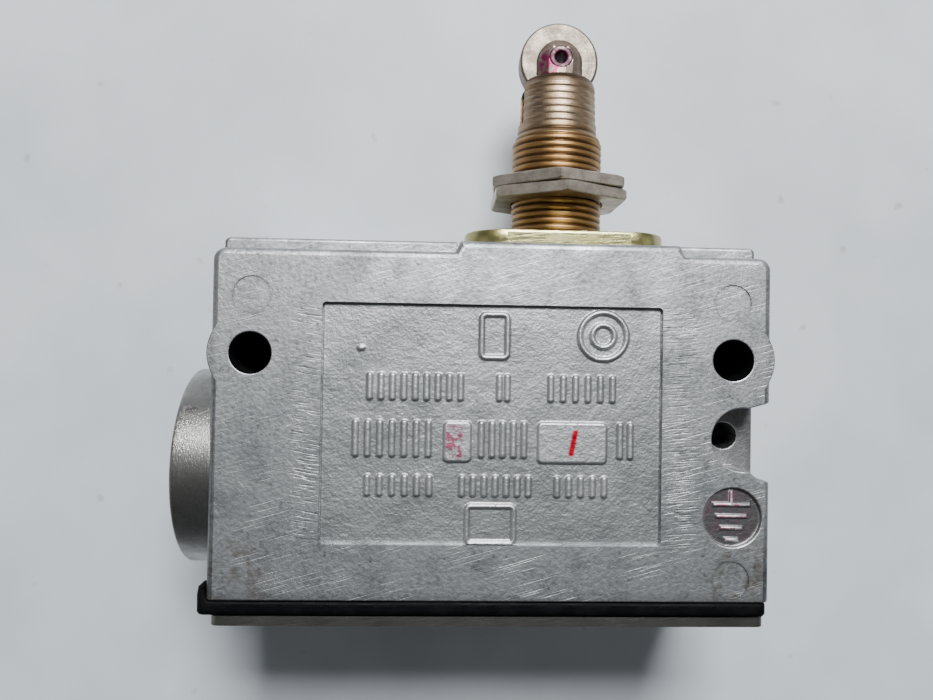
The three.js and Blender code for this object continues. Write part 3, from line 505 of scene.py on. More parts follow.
def worn_fork(tree, place):
    """The plunger's steel, rubbed pale and warm, with a smear of lacquer beside the rivet."""
    high, middle = box_mm("roller_axle")[1:]
    spot = (middle[0] - 1.6, middle[1] - 0.7, high[2])
    patches = clouds(tree, place, 1.4, 4.0)
    smear = spread(tree, clouds(tree, place, 0.8), 0.40, 0.54)
    covered = times(tree, near_point(tree, place, spot, 1.9), smear)
    tone = tones(tree, patches, 0.34, "#7d6b60", 0.66, "#a8968a")
    colour = layered(tree, tone, [(covered, 0.95, "#9c3062")])
    rough = spread(tree, patches, 0.3, 0.7, 0.46, 0.36)
    return metal(tree, colour, rough, clouds(tree, place, 0.15, 2.0), 0.02)


def tarnished_brass(tree, place):
    """Brass gone brown in the grooves, yellow on the barrel's crests and paler on the neck's."""
    neck_start, neck_end = 28.5 * MM, 31.0 * MM
    radius = from_axis(tree, place, box_mm("threaded_sleeve")[2], 1)
    patches = clouds(tree, place, 1.6, 4.0)
    lines = stretched(tree, place, (25, 0.3, 25), Detail=2.0)
    climb = spread(tree, axis_place(tree, place, "Y"), neck_start, neck_end)
    root, crest = (add(tree, "Mix", {0: climb, 2: barrel * MM, 3: neck * MM})
                   for barrel, neck in ((5.80, 4.90), (5.98, 5.14)))
    exposed = spread(tree, radius, root, crest)
    bare = mixed(tree, climb, "#b28c5a", "#a8957f")
    layers = [
        (weighed(tree, patches, 0.9, -0.15), 1.0, "#7a5b3a"),
        (spread(tree, lines, 0.5, 0.72), 0.55, "#5a4632"),
    ]
    colour = mixed(tree, exposed, "#4d3a26", layered(tree, bare, layers))
    rough = spread(tree, patches, 0.3, 0.7, 0.32, 0.46)
    return metal(tree, colour, rough, weighed(tree, lines, 0.7, clouds(tree, place, 0.25)), 0.02)


# %% [markdown]
# ## Rubber, phenolic plastic and lacquer
# The gasket is black rubber pressed out a little by the cover. The contact unit is moulded of brown
# phenolic resin with a faint flow pattern. The rivet was sealed with a drop of red lacquer, which has
# dried purple.

# %% Soft and moulded finishes
def black_rubber(tree, place):
    """Dull black rubber with a fine pebbled skin and dusty patches."""
    dust = clouds(tree, place, 2.5, 4.0)
    pebble = clouds(tree, place, 0.25, 2.0)
    colour = tones(tree, dust, 0.50, "#030405", 0.80, "#0c0d0f")
    rough = spread(tree, dust, 0.4, 0.7, 0.55, 0.75)
    return surface(tree, colour, rough, pebble, 0.03, **{"Specular IOR Level": 0.1})


def moulded_phenolic(tree, place):
    """Brown resin: flow bands some millimetres wide and a fine filler grain."""
    bands = stretched(tree, place, (9, 2, 9), Detail=4.0, Distortion=0.6)
    filler = clouds(tree, place, 0.12, 2.0)
    tone = tones(tree, bands, 0.35, "#2c1a12", 0.7, "#4a2c1e")
    colour = layered(tree, tone, [(weighed(tree, filler, 0.4, -0.12), 1.0, "#6a4632")])
    return surface(tree, colour, spread(tree, bands, 0.0, 1.0, 0.28, 0.42), filler, 0.01, IOR=1.6)


def lacquered_rivet(tree, place):
    """Steel with a smear of dried red lacquer that covers most of the head."""
    smear = clouds(tree, place, 1.3, 3.0)
    cover = spread(tree, smear, 0.34, 0.46)
    lacquer = mixed(tree, clouds(tree, place, 0.4), "#3e0d24", "#6e2246")
    colour = mixed(tree, cover, "#8d837c", lacquer)
    return surface(tree, colour, 0.5, smear, 0.08, Metallic=spread(tree, cover, 0.0, 1.0, 1.0, 0.0))


# %% Materials of the record's slots
def steel(name, **values):
    """A worn metal finish of that name."""
    return new_material(name, worn_metal, **values)


FINISH = {
    "cast_aluminium": new_material("die_cast_aluminium", cast_aluminium),
    "turned_aluminium": steel(
        "turned_aluminium", dark="#7b7a78", light="#aaa8a5", rough=0.32, patch=4.0, mark=(30.0, 0.10),
        angle=90, depth=0.012),
    "rubber": new_material("black_rubber", black_rubber),
    "brass": new_material("tarnished_brass", tarnished_brass),
    "contact_brass": steel(
        "stamped_brass", dark="#a5813f", light="#cfae6a", rough=0.26, patch=3.0, mark=(6.0, 0.05)),
    "nickel_plated_steel": steel(
        "dull_nickel_plate", dark="#968c81", light="#c2b8ac", rough=0.36, patch=1.8, mark=(2.5, 0.08),
        stain="#5d544b", angle=8),
    "yellow_passivated_steel": steel(
        "yellow_passivated_zinc", dark="#a79f66", light="#bfba8a", rough=0.26, patch=7.0,
        mark=(3.0, 0.07), stain="#a3a27c", angle=3, depth=0.005),
    "bright_steel": steel(
        "bright_zinc_plate", dark="#686864", light="#85857f", rough=0.38, patch=4.5, mark=(5.0, 0.05),
        stain="#54524d", angle=7, depth=0.006),
    "spring_steel": steel(
        "drawn_spring_steel", dark="#5c5d60", light="#8d8f93", rough=0.28, patch=1.2, mark=(2.0, 0.04)),
    "phenolic_plastic": new_material("moulded_phenolic", moulded_phenolic),
    "contact_silver": steel(
        "contact_silver", dark="#b5b3ac", light="#dcdad3", rough=0.22, patch=0.8, mark=(1.0, 0.03)),
    "lacquered_rivet": new_material("lacquered_steel", lacquered_rivet),
}
CAST_FLOOR = new_material("cast_field_floor", cast_floor)
SPECIAL = {
    "roller": new_material("turned_roller_steel", ringed_steel),
    "plunger": new_material("rubbed_fork_steel", worn_fork),
}
print(len(FINISH) + len(SPECIAL) + 1, "finishes")

# %% [markdown]
# ## Tools for shapes
# A new piece is a grid of points worked out as whole arrays, with quads between neighbours. When the grid
# is in place, points that fall together are merged, which closes seams and poles, and the faces are turned
# outwards by the sign of the volume that they enclose. The piece then takes over from its CAD node.

# %% Points, faces and pieces
LEVEL = 0.99999


def quads(rows, columns, loop_rows=False, loop_columns=True):
    """Corner numbers of a grid's quads; a looped direction joins its end to its start."""
    row = np.arange(rows if loop_rows else rows - 1)[:, None]
    column = np.arange(columns if loop_columns else columns - 1)[None, :]
    below, beside = (row + 1) % rows, (column + 1) % columns
    here, under = row * columns, below * columns
    corners = (here + column, under + column, under + beside, here + beside)
    return np.stack(np.broadcast_arrays(*corners), -1).reshape(-1, 4)


def turn_outwards(shape):
    """Turns the faces of a closed bmesh so that they look out of it."""
    if shape.calc_volume(signed=True) < 0:
        bmesh.ops.reverse_faces(shape, faces=shape.faces)


def settle(shape, name, node, replaced=True, finish=None, sharp=32):
    """Makes a bmesh a piece that rides with the node's body and stands for it.

    Edges sharper than that many degrees are crisp. Faces square to an axis are shaded flat.
    """
    turn_outwards(shape)
    mesh = bpy.data.meshes.new(name)
    shape.to_mesh(mesh)
    shape.free()
    mesh.shade_smooth()
    mesh.set_sharp_from_angle(angle=math.radians(sharp))
    for face in mesh.polygons:
        face.use_smooth = max(abs(part) for part in face.normal) < LEVEL
    mesh.materials.clear()
    mesh.materials.append(finish or SPECIAL.get(node) or FINISH[slot_of[node]])
    piece = bpy.data.objects.new(name, mesh)
    scene.collection.objects.link(piece)
    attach(piece, frame["nodes"][node]["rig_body"])
    if replaced:
        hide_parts(node)
    return piece


def shape_from(points, faces):
    """A bmesh of points in mm and faces, with points closer than a micron merged."""
    mesh = bpy.data.meshes.new("grid")
    flat = np.asarray(points, float).reshape(-1, 3) * MM
    mesh.from_pydata(flat.tolist(), [], [list(face) for face in faces])
    shape = bmesh.new()
    shape.from_mesh(mesh)
    bpy.data.meshes.remove(mesh)
    bmesh.ops.remove_doubles(shape, verts=shape.verts, dist=0.001 * MM)
    return shape


def eased(corners, radius, steps=5, loop=False):
    """Each corner P becomes (1-t)^2 A + 2 t (1-t) P + t^2 B, where A and B lie radius mm along its sides."""
    corners = np.asarray(corners, float)
    before, after = np.roll(corners, 1, 0) - corners, np.roll(corners, -1, 0) - corners
    t = np.linspace(0, 1, steps)[None, :, None]

    def along(side):
        length = np.linalg.norm(side, axis=1, keepdims=True)
        return corners + side * np.minimum(radius, 0.45 * length) / length

    start, end = along(before)[:, None], along(after)[:, None]
    curve = (1 - t) ** 2 * start + 2 * t * (1 - t) * corners[:, None] + t ** 2 * end
    if not loop:
        curve[0], curve[-1] = corners[0], corners[-1]
    return curve.reshape(-1, 2)


def turned(profile, axis, centre, sides=96):
    """A closed profile of (radius, height) swept round an axis: centre + radius (cos a, sin a) beside it."""
    radius, height = np.asarray(profile).T[:, :, None]
    angle = np.linspace(0, 2 * np.pi, sides, endpoint=False)[None, :]
    one, two = [index for index in range(3) if index != axis]
    points = np.empty((len(profile), sides, 3))
    points[..., one] = centre[one] + radius * np.cos(angle)
    points[..., two] = centre[two] + radius * np.sin(angle)
    points[..., axis] = height
    return points, quads(len(profile), sides, loop_rows=True)


# %% [markdown]
# ## Pieces with broken edges
# Cast, stamped and moulded pieces already have their shapes in the CAD model, but its edges are razor
# sharp. Real edges are rounded a little and catch a thin line of light. A copy of the node has its flat
# triangles joined, and each crisp edge is bevelled. A bevel modifier does the same, but short edges would
# choke it, so only edges with room round them are picked.

# %% Break the edges
CRISP, FLAT = math.radians(40), math.radians(0.6)


def softened(node, edge):
    """The node's shape with every crisp edge rounded by edge mm."""
    shape = bmesh.new()
    shape.from_mesh(frame["nodes"][node].data)
    bmesh.ops.remove_doubles(shape, verts=shape.verts, dist=0.005 * MM)
    bmesh.ops.dissolve_limit(shape, angle_limit=FLAT, verts=shape.verts, edges=shape.edges)
    room = 1.2 * edge * MM
    picked = [
        line for line in shape.edges
        if line.is_manifold and line.calc_face_angle() > CRISP
        and all(other.calc_length() > room for end in line.verts for other in end.link_edges)
    ]
    bmesh.ops.bevel(shape, geom=picked, offset=edge * MM, segments=2, profile=0.5, affect="EDGES")
    settle(shape, node + "_finished", node)


# How much each piece's edges are rounded, mm; terminals and screws follow by their names.
EDGES = {
    "housing": 0.15, "cover_plate": 0.15, "flange_plate": 0.35, "plunger": 0.10, "switch_case": 0.20,
    "switch_lid": 0.20, "switch_button": 0.12, "contact_blade": 0.08, "overtravel_pin": 0.12,
    "moving_contact": 0.08, "closed_contact": 0.08, "open_contact": 0.08,
}
for node in slot_of:
    if node.endswith("_terminal"):
        EDGES[node] = 0.08
    elif "screw" in node:
        EDGES[node] = 0.07
for node, edge in EDGES.items():
    softened(node, edge)
print(len(EDGES), "pieces softened")


# %% [markdown]
# ## Turned rings
# Washers, seals, the roller and the bushing are cut on a lathe or moulded round. Each is a closed profile
# swept round its axis. The bore isn't in the node's box, so it is read from the node's points as the smallest
# distance from the axis. A cylinder with a hole cut in it would show flat sides, while a swept profile is as
# round as its number of sides.

# %% Rings and round pieces
AXES = {"x": 0, "y": 1, "z": 2}


def radii(node, axis):
    """Smallest and largest distance of the node's points from its axis, mm."""
    points = np.array([corner.co for corner in frame["nodes"][node].data.vertices]) / MM - box_mm(node)[2]
    away = np.linalg.norm(np.delete(points, axis, axis=1), axis=1)
    return away.min(), away.max()


def ring(node, axis_name, easing):
    """A ring of the node's bore, radius and length, with its four edges rounded by easing mm."""
    axis = AXES[axis_name]
    low, high, middle = box_mm(node)
    bore, outer = radii(node, axis)
    start, end = low[axis], high[axis]
    profile = eased([(bore, start), (outer, start), (outer, end), (bore, end)], easing, loop=True)
    settle(shape_from(*turned(profile, axis, middle)), node + "_finished", node)


# Each ring's axis and the rounding of its edges, mm.
RINGS = {
    "roller": ("z", 0.35), "sleeve_gasket": ("y", 0.2), "spring_seat": ("y", 0.2),
    "inlet_washer": ("x", 0.12), "inlet_seal": ("x", 0.5), "plunger_seal": ("y", 0.6),
}
for node, (axis_name, easing) in RINGS.items():
    ring(node, axis_name, easing)
print(len(RINGS), "rings turned")

# %% [markdown]
# ## The cable bushing
# The round socket on the left takes a cable or a conduit. It is turned from aluminium bar, with a rounded
# rim, a short stem in the wall of the box, and a shallow thread in its bore for the conduit.

# %% Bushing
def bushing():
    """Profile (radius, x) with a rounded rim; its bore carries a thread that follows a sine of x."""
    bore_depth, bore_pitch = 0.22, 1.0
    node = "inlet_bushing"
    low, high, middle = box_mm(node)
    bore, outer = radii(node, 0)
    wall = box_mm("housing")[0][0] + 0.35
    stem = outer - 2.7
    flank = np.linspace(low[0] + 1.0, wall - 0.3, 12)
    inside = np.linspace(high[0] - 0.4, low[0] + 0.9, 90)
    rim = eased([(bore + 0.6, low[0]), (outer, low[0]), (outer, low[0] + 1.0)], 0.8, 10)
    outside = np.column_stack([np.full_like(flank, outer), flank])
    foot = [(outer - 0.25, wall), (stem, wall), (stem, high[0] - 0.3), (stem - 0.3, high[0]),
            (bore + 0.3, high[0])]
    hole = np.column_stack([bore + bore_depth * (1 + np.sin(inside * 2 * np.pi / bore_pitch)), inside])
    profile = np.vstack([rim, outside, foot, hole])
    settle(shape_from(*turned(profile, 0, middle, 144)), "bushing_turned", node, sharp=40)


bushing()

# %% [markdown]
# ## The threaded sleeve
# The brass sleeve carries a fine thread on its barrel, which runs on over the narrower neck as shallow
# rings, and a slot lets the roller pass. The thread is a true helix: on a grid of height and angle the crest
# climbs one pitch a turn. A bump texture could fake it, but the outline of a thread is toothed, so it has to
# be shape. The slot is the only cut, and a Boolean makes it while the piece is built.

# %% Threads and cuts
PITCH = 0.9


def thread(crest, depth, height, angle):
    """crest less depth times a narrow V, once a pitch, shifted along the height by the angle."""
    turn = height / PITCH - angle / (2 * np.pi)
    groove = np.abs(2 * (turn - np.floor(turn)) - 1)
    return crest - depth * np.clip((groove - 0.42) / 0.5, 0, 1)


def with_cut(shape, low, high):
    """The shape less the box from low to high, mm."""
    meshes = [bpy.data.meshes.new(name) for name in ("whole", "cutter")]
    shape.to_mesh(meshes[0])
    shape.free()
    box = bmesh.new()
    bmesh.ops.create_cube(box, size=1)
    size, middle = (np.array(high) - low) * MM, (np.array(high) + low) / 2 * MM
    for corner in box.verts:
        corner.co = [corner.co[i] * size[i] + middle[i] for i in range(3)]
    box.to_mesh(meshes[1])
    box.free()
    whole, cutter = (bpy.data.objects.new(mesh.name, mesh) for mesh in meshes)
    for part in (whole, cutter):
        scene.collection.objects.link(part)
    knife = whole.modifiers.new("slot", "BOOLEAN")
    knife.object, knife.operation, knife.solver = cutter, "DIFFERENCE", "EXACT"
    made = bmesh.new()
    made.from_object(whole, bpy.context.evaluated_depsgraph_get())
    for part in (whole, cutter):
        bpy.data.objects.remove(part)
    for mesh in meshes:
        bpy.data.meshes.remove(mesh)
    return made


# %% Sleeve
def sleeve():
    """Rows of (height, crest, depth): tail, collar, barrel and neck outside, guide and chamber inside."""
    node = "threaded_sleeve"
    low, high, middle = box_mm(node)
    guide, collar = radii(node, 1)
    barrel, barrel_depth, half_slot, sides = 6.0, 0.20, 2.1, 128
    travel = frame["joints"][0]["range_m"][1] / MM
    slot_floor = box_mm("roller")[0][1] - travel - 0.2
    flange_foot = box_mm("flange_plate")[0][1]
    collar_top, collar_foot = flange_foot - 0.2, flange_foot - 2.6
    fine = np.arange(collar_top + 0.5, high[1] - 1.45, PITCH / 14)
    where = [collar_top, slot_floor - 2.5, slot_floor - 1.2, high[1]]
    crest = np.interp(fine, where, [barrel, barrel, 5.32, 5.15])
    depth = np.interp(fine, where, [barrel_depth, barrel_depth, 0.07, 0.06])
    plain = [(low[1], 5.7), (low[1] + 0.3, barrel), (collar_foot, barrel), (collar_foot, collar - 0.2),
             (collar_foot + 0.2, collar), (collar_top - 0.2, collar), (collar_top, collar - 0.2),
             (collar_top, 5.6), (collar_top + 0.4, 5.6)]
    chamber_top = high[1] - 12.8
    inside = [(high[1] - 1.35, 5.12), (high[1] - 0.9, 5.0), (high[1] - 0.5, 4.8), (high[1] - 0.2, 4.5),
              (high[1], 4.1), (high[1], guide + 0.3), (high[1] - 0.3, guide),
              (chamber_top, guide), (chamber_top, 4.55), (low[1] + 0.2, 4.55), (low[1], 4.7)]
    plain_rows, inside_rows = ([(y, r, 0) for y, r in profile] for profile in (plain, inside))
    rows = np.array(plain_rows + list(zip(fine, crest, depth)) + inside_rows)
    angle = np.linspace(0, 2 * np.pi, sides, endpoint=False)[None, :]
    height, crests, depths = (column[:, None] for column in rows.T)
    radius = thread(crests, depths, height, angle)
    points = np.stack(np.broadcast_arrays(
        middle[0] + radius * np.cos(angle), height, middle[2] + radius * np.sin(angle)), -1)
    shape = shape_from(points, quads(len(rows), sides, loop_rows=True))
    turn_outwards(shape)
    slotted = with_cut(shape, (middle[0] - 12, slot_floor, middle[2] - half_slot),
                       (middle[0] + 12, high[1] + 2, middle[2] + half_slot))
    piece = settle(slotted, "sleeve_threaded", node, sharp=50)
    print("sleeve", len(piece.data.polygons), "faces, slot floor at", round(slot_floor, 2), "mm")


sleeve()

# %% [markdown]
# ## Lock nuts
# Two thin hexagon nuts clamp the switch to a panel. The flats are the sides of a hexagon, and both faces are
# chamfered by a cone, so each flat ends in a shallow curve. The radius of a hexagon at an angle is its flat's
# distance over the cosine of the angle from that flat. The cone lowers the face where the radius is larger
# than its own circle.

# %% Nuts
# How far each nut is turned, degrees.
NUT_TURNS = {"lock_nut_lower": 0.0, "lock_nut_upper": 5.3}


def nut(node, turn):
    """Rows of a closed profile; outside, its radius is d / cos(a) at an angle a from the nearest flat."""
    low, high, middle = box_mm(node)
    lower = box_mm("lock_nut_lower")
    flat = (lower[1][0] - lower[0][0]) / 2
    bore, ease, sides = 6.08, 0.22, 144
    around = np.linspace(0, 2 * np.pi, sides, endpoint=False)
    sixth = np.pi / 3
    hexagon = flat / np.cos((around + sixth / 2) % sixth - sixth / 2)
    face = np.minimum(hexagon - 0.14, 1.10 * flat)
    drop = (hexagon - face) * math.tan(math.radians(28))
    bottom, top = low[1], high[1]
    rows = [
        (bore + ease, bottom), (face, bottom), (hexagon - 0.06, bottom + drop - 0.03),
        (hexagon, bottom + drop + 0.05), (hexagon, top - drop - 0.05), (hexagon - 0.06, top - drop + 0.03),
        (face, top), (bore + ease, top), (bore, top - ease), (bore, bottom + ease),
    ]
    radius = np.array([np.broadcast_to(row[0], around.shape) for row in rows])
    height = np.array([np.broadcast_to(row[1], around.shape) for row in rows])
    angle = around + math.radians(turn)
    points = np.stack([middle[0] + radius * np.cos(angle), height, middle[2] + radius * np.sin(angle)], -1)
    settle(shape_from(points, quads(len(rows), sides, loop_rows=True)), node + "_finished", node, sharp=20)


for node, turn in NUT_TURNS.items():
    nut(node, turn)
lower_nut = box_mm("lock_nut_lower")
print("nuts across flats", round(lower_nut[1][0] - lower_nut[0][0], 2), "mm")

# %% [markdown]
# ## The hollow rivet
# The roller turns on a hollow rivet, whose two ends are rolled outwards over the fork. The rolled lip is
# round like half a ring, and the hole goes right through.

# %% Rivet
def rivet():
    """Closed profile (radius, z): shank between two rolled lips, the corners eased into round ones."""
    node = "roller_axle"
    low, high, middle = box_mm(node)
    bore, lip = radii(node, 2)
    shank, reach = 1.2, 0.25
    corners = [
        (bore, low[2] + 0.5), (bore + 0.1, low[2]), (lip, low[2]), (lip, low[2] + reach),
        (shank, low[2] + reach), (shank, high[2] - reach), (lip, high[2] - reach), (lip, high[2]),
        (bore + 0.1, high[2]), (bore, high[2] - 0.5),
    ]
    profile = eased(corners, 0.22, 6, loop=True)
    settle(shape_from(*turned(profile, 2, middle, 64)), "rivet_rolled", node)


rivet()

# %% [markdown]
# ## Springs
# A spring is a round wire along a helix. Its last turn at each end lies flat against its neighbour, so the
# helix climbs only between them.

# %% Springs
# Wire in mm, turns, joint and fixed end of each spring.
SPRINGS = {
    "return_spring": (0.8, 7, "plunger_slide", "low"),
    "overtravel_spring": (0.36, 8, "overtravel_slide", "high"),
    "contact_spring": (0.5, 5, "blade_tilt", "low"),
}


def coil(node, wire, turns, joint, fixed):
    """Wire section w (cos b, sin b) carried along (R cos a, h(a), R sin a); h is flat in the end turns."""
    low, high, middle = box_mm(node)
    mean = (high[0] - low[0] - wire) / 2
    part = np.linspace(0, 1, turns * 28)[:, None]
    closed = 0.8
    climb = np.clip((part * turns - closed) / (turns - 2 * closed), 0, 1)
    flat = wire * (np.clip(part * turns, 0, closed) + np.clip(part * turns - turns + closed, 0, closed))
    height = low[1] + wire / 2 + flat + climb * (high[1] - low[1] - 2.6 * wire)
    around = 2 * np.pi * turns * part
    section = np.linspace(0, 2 * np.pi, 12, endpoint=False)[None, :]
    size = np.where((part > 0) & (part < 1), wire / 2, 0)
    radius = mean + size * np.cos(section)
    x, z = middle[0] + radius * np.cos(around), middle[2] + radius * np.sin(around)
    points = np.stack([x, height + size * np.sin(section), z], -1)
    piece = settle(shape_from(points, quads(len(part), 12)), node + "_wound", node, sharp=60)
    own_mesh(piece)


for node, values in SPRINGS.items():
    coil(node, *values)

# %% [markdown]
# ## The rubber gasket
# A black rubber sheet seals the cover. The screws squeeze it, so its rim bulges unevenly, and at one corner
# it has crept up the side of the box. A section is carried round a rounded rectangle, and the rim's points
# are pushed out by a few slow waves.

# %% Gasket
def evenly(path, columns, count):
    """Each column's values at equal steps along a closed path, and the share of the way at each step."""
    length = np.append(0, np.cumsum(np.linalg.norm(np.diff(path, axis=0), axis=1)))
    step = np.linspace(0, length[-1], count, endpoint=False)
    return [np.interp(step, length, column) for column in columns], step / length[-1]


def around_rectangle(half_x, half_z, radius, count):
    """Points and outward directions of a rounded rectangle, at equal steps of its length."""
    turn = np.linspace(0, np.pi / 2, 14)
    angle = (turn[None, :] + np.arange(4)[:, None] * np.pi / 2).ravel()
    side = np.repeat([[1, 1], [-1, 1], [-1, -1], [1, -1]], 14, axis=0) * (half_x - radius, half_z - radius)
    angle = np.append(angle, angle[0] + 2 * np.pi)
    path = np.vstack([side, side[:1]]) + radius * np.column_stack([np.cos(angle), np.sin(angle)])
    (x, z, angle), share = evenly(path, (*path.T, angle), count)
    return np.column_stack([x, z]), np.column_stack([np.cos(angle), np.sin(angle)]), share


def smooth(value, start, end):
    """0 before start, 1 after end, and 3 t^2 - 2 t^3 between."""
    t = np.clip((value - start) / (end - start), 0, 1)
    return t * t * (3 - 2 * t)


def gasket():
    """Section points (inwards, height) carried round the rim; sines of the way round bulge its outer edge."""
    node = "cover_gasket"
    steps, section_steps = 720, 44
    width, rounding = 6.0, 1.0
    low, high, middle = box_mm(node)
    half = (high - low) / 2
    place, outward, share = around_rectangle(half[0], half[2], rounding, steps)
    corners = [(-width, low[1]), (-0.05, low[1]), (-0.05, high[1]), (-width, high[1])]
    section = eased(corners, 0.35, 6, loop=True)
    section = np.vstack([section, section[:1]])
    inwards, height = (column[None, :] for column in evenly(section, section.T, section_steps)[0])
    waves = sum(np.sin(2 * np.pi * count * share + phase) / count ** 0.5
                for count, phase in ((5, 0.4), (11, 2.1), (17, 4.0), (29, 1.2)))
    rim = smooth(inwards, -1.6, -0.1)
    bulge = 0.055 * waves[:, None] * rim
    x = middle[0] + place[:, :1] + outward[:, :1] * (inwards + bulge)
    z = middle[2] + place[:, 1:] + outward[:, 1:] * (inwards + np.minimum(bulge, 0.12))
    box_left = box_mm("housing")[0][0] + 0.45
    outside = smooth(box_left - x, 0.02, 0.3) * smooth(z, 22.5, 27.0)
    upper = smooth(height, middle[1], high[1])
    creep = 1.5
    y = height + creep * outside * upper + 0.05 * np.roll(waves, 90)[:, None] * rim * upper
    points = np.stack([x, np.minimum(y, high[1] + creep), z], -1)
    shape = shape_from(points, quads(steps, section_steps, loop_rows=True))
    settle(shape, "gasket_pressed", node, sharp=60)


gasket()

# %% [markdown]
# ## The sunk name field
# The front has a sunk field with raised marks, cast in one with the box. Its skin was never filed, so it
# stays grainy, like coarse cloth. Its marks are left blank here: rows of plain bars, two pads, a double ring,
# two frames and a dot. The floor is a height at each point of a fine grid. Each mark is a soft step of its
# distance to an outline, and the grain is noise from a grid of random numbers. A bump texture would look flat
# from the side.

# %% Heights of the field
FIELD_STEP = 0.13
RANDOM = np.random.default_rng(7)
# Rows of bars: middle height, bar height, and the start and end of each group of bars, mm.
BAR_ROWS = (
    (-3.6, 3.1, ((-15.0, -3.2), (0.2, 2.0), (5.9, 14.6))),
    (-9.6, 4.2, ((-16.6, -6.8), (-2.0, 4.2), (14.2, 16.6))),
    (-15.0, 2.4, ((-15.2, -6.6), (-4.2, 4.8), (6.8, 13.7))),
)
# Middle x and y, and half of each side, of the two pads, mm.
PADS = ((-4.15, -9.9, 1.55, 2.3), (9.2, -9.9, 4.0, 2.35))
RING_MIDDLE = (12.7, 2.6)
MARK_HEIGHT = 0.32


def noise(x, y, size):
    """Random numbers at the crossings of a net of that size in mm, blended smoothly between."""
    column, row = (x - x.min()) / size, (y - y.min()) / size
    net = RANDOM.random((int(row.max()) + 2, int(column.max()) + 2))
    i, j = row.astype(int), column.astype(int)
    u, v = smooth(row - i, 0, 1), smooth(column - j, 0, 1)
    upper = net[i, j] * (1 - v) + net[i, j + 1] * v
    lower = net[i + 1, j] * (1 - v) + net[i + 1, j + 1] * v
    return upper * (1 - u) + lower * u - 0.5


def rounded_box(x, y, middle_x, middle_y, half_x, half_y, radius):
    """Distance to the outline of a rounded rectangle, below zero inside it."""
    across, along = abs(x - middle_x) - half_x + radius, abs(y - middle_y) - half_y + radius
    outside = np.hypot(np.maximum(across, 0), np.maximum(along, 0))
    return outside + np.minimum(np.maximum(across, along), 0) - radius


def raised(distance, height, slope=0.2):
    """A step of that height whose side spreads over slope mm about the outline."""
    return height * smooth(-distance, -slope / 2, slope / 2)


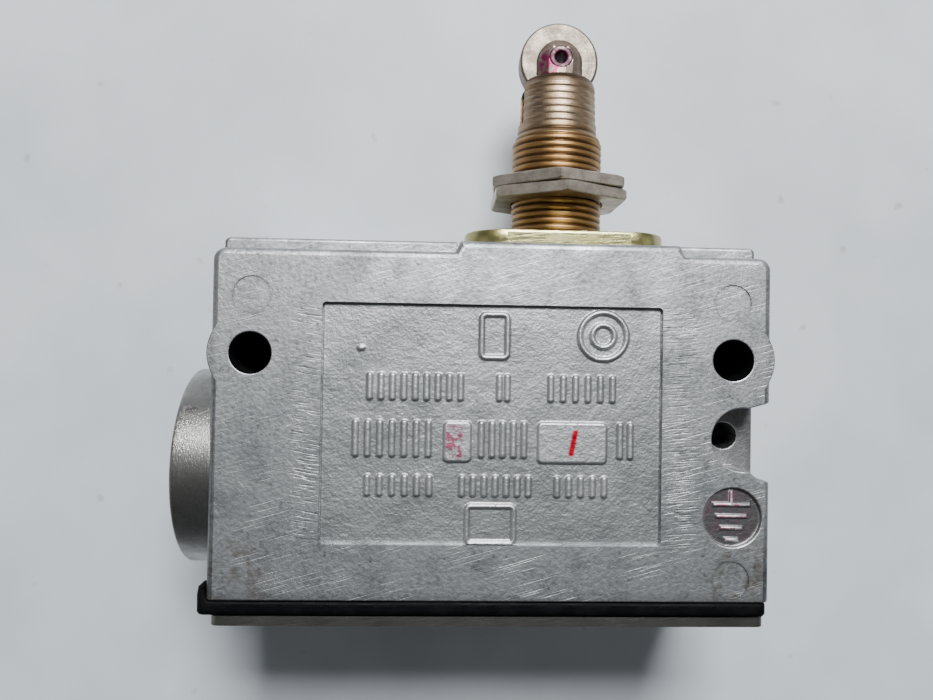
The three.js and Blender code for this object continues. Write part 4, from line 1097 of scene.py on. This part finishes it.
# %% Field
def field():
    """Height = cast grain + a fillet at the rim + the marks; the rim is folded down and closed below."""
    low, high = FIELD_LOW + 0.03, FIELD_HIGH - 0.03
    floor = FRONT - 0.6
    count = np.ceil((high - low) / FIELD_STEP).astype(int)
    x, y = np.meshgrid(np.linspace(low[0], high[0], count[0]), np.linspace(low[1], high[1], count[1]))
    grain = 0.02 * noise(x, y, 0.75) + 0.022 * noise(x, y, 0.38) + 0.03 * noise(x, y, 2.2)
    rim = np.minimum(np.minimum(x - low[0], high[0] - x), np.minimum(y - low[1], high[1] - y))
    fillet = 0.05 * (1 - smooth(rim, 0, 0.3))
    steps = []
    for middle, tall, groups in BAR_ROWS:
        for start, end in groups:
            bars = max(2, round((end - start) / 1.35))
            pitch = (end - start) / bars
            beside = (x - start) % pitch - pitch / 2
            bar = rounded_box(beside, y, 0, middle, 0.28, tall / 2, 0.2)
            within = (x > start) & (x < end)
            steps.append(np.where(within, raised(bar, MARK_HEIGHT), 0))
    steps += [raised(rounded_box(x, y, *pad, 0.5), 0.34, 0.15) for pad in PADS]
    from_ring_middle = np.hypot(x - RING_MIDDLE[0], y - RING_MIDDLE[1])
    top_frame = rounded_box(x, y, 0.0, 2.4, 1.5, 2.5, 0.5)
    foot_frame = rounded_box(x, y, -0.2, -19.4, 2.7, 2.1, 0.4)
    outlines = (top_frame, from_ring_middle - 2.75, from_ring_middle - 1.3, foot_frame)
    steps += [raised(abs(distance) - 0.24, MARK_HEIGHT) for distance in outlines]
    dot = np.hypot((x + 15.4) / 1.4, y - 0.8) - 0.3
    steps.append(raised(dot, 0.16, 0.3))
    marks = np.maximum.reduce(steps)
    height = np.maximum(floor + 0.04 + grain + fillet + marks, floor + 0.01)
    fold = np.zeros(x.shape, bool)
    fold[[0, -1], :] = fold[:, [0, -1]] = True
    height = np.where(fold, floor - 0.05, height)
    points = np.stack([x, y, height], -1).reshape(-1, 3)
    rows, columns = x.shape
    number = np.arange(rows * columns).reshape(rows, columns)
    border = np.concatenate([number[0, :-1], number[:-1, -1], number[-1, :0:-1], number[:0:-1, 0]])
    faces = quads(rows, columns, loop_columns=False).tolist() + [border[::-1].tolist()]
    shape = shape_from(points, faces)
    piece = settle(shape, "name_field", "housing", replaced=False, finish=CAST_FLOOR, sharp=75)
    across, along = np.array([corner.co[:2] for corner in piece.data.vertices]).T / MM
    pad_line, slant = -9.9, 0.185
    dabs = {
        "small_paint": rounded_box(across, along, -4.55, pad_line, 0.95, 1.9, 0.4),
        "large_paint": rounded_box(
            across - slant * (along - pad_line), along, 9.3, pad_line, 0.33, 1.55, 0.3),
    }
    for name, distance in dabs.items():
        attribute = piece.data.attributes.new(name, "FLOAT", "POINT")
        attribute.data.foreach_set("value", smooth(-distance, -0.15, 0.15))
    print("field", len(piece.data.polygons), "faces")


field()

# %% [markdown]
# ## Floor
# The switch lies on a pale board. The board is a plain sheet with a faint cloudiness, like a laminate, and it
# isn't part of the object.

# %% Floor
def laminate(tree, place):
    """Pale blue-grey laminate with soft clouds some centimetres wide and a few specks of dirt."""
    patches = clouds(tree, place, 30.0, 3.0)
    specks = spread(tree, clouds(tree, place, 4.0, 1.0), 0.74, 0.80)
    tone = tones(tree, patches, 0.35, "#c0c5cb", 0.65, "#ced3d9")
    colour = layered(tree, tone, [(specks, 0.35, "#7d7468")])
    return add(tree, "BsdfPrincipled", {"Base Color": colour, "Roughness": 0.55})


def floor():
    """A square sheet just under the switch."""
    half, height = 2500, cad_low.z / MM - 0.02
    mesh = bpy.data.meshes.new("board")
    corners = np.array([(x * half, y * half, height) for x, y in ((-1, -1), (1, -1), (1, 1), (-1, 1))])
    mesh.from_pydata((corners * MM).tolist(), [], [(0, 1, 2, 3)])
    mesh.materials.append(new_material("pale_laminate", laminate))
    board = bpy.data.objects.new("board", mesh)
    scene.collection.objects.link(board)


floor()
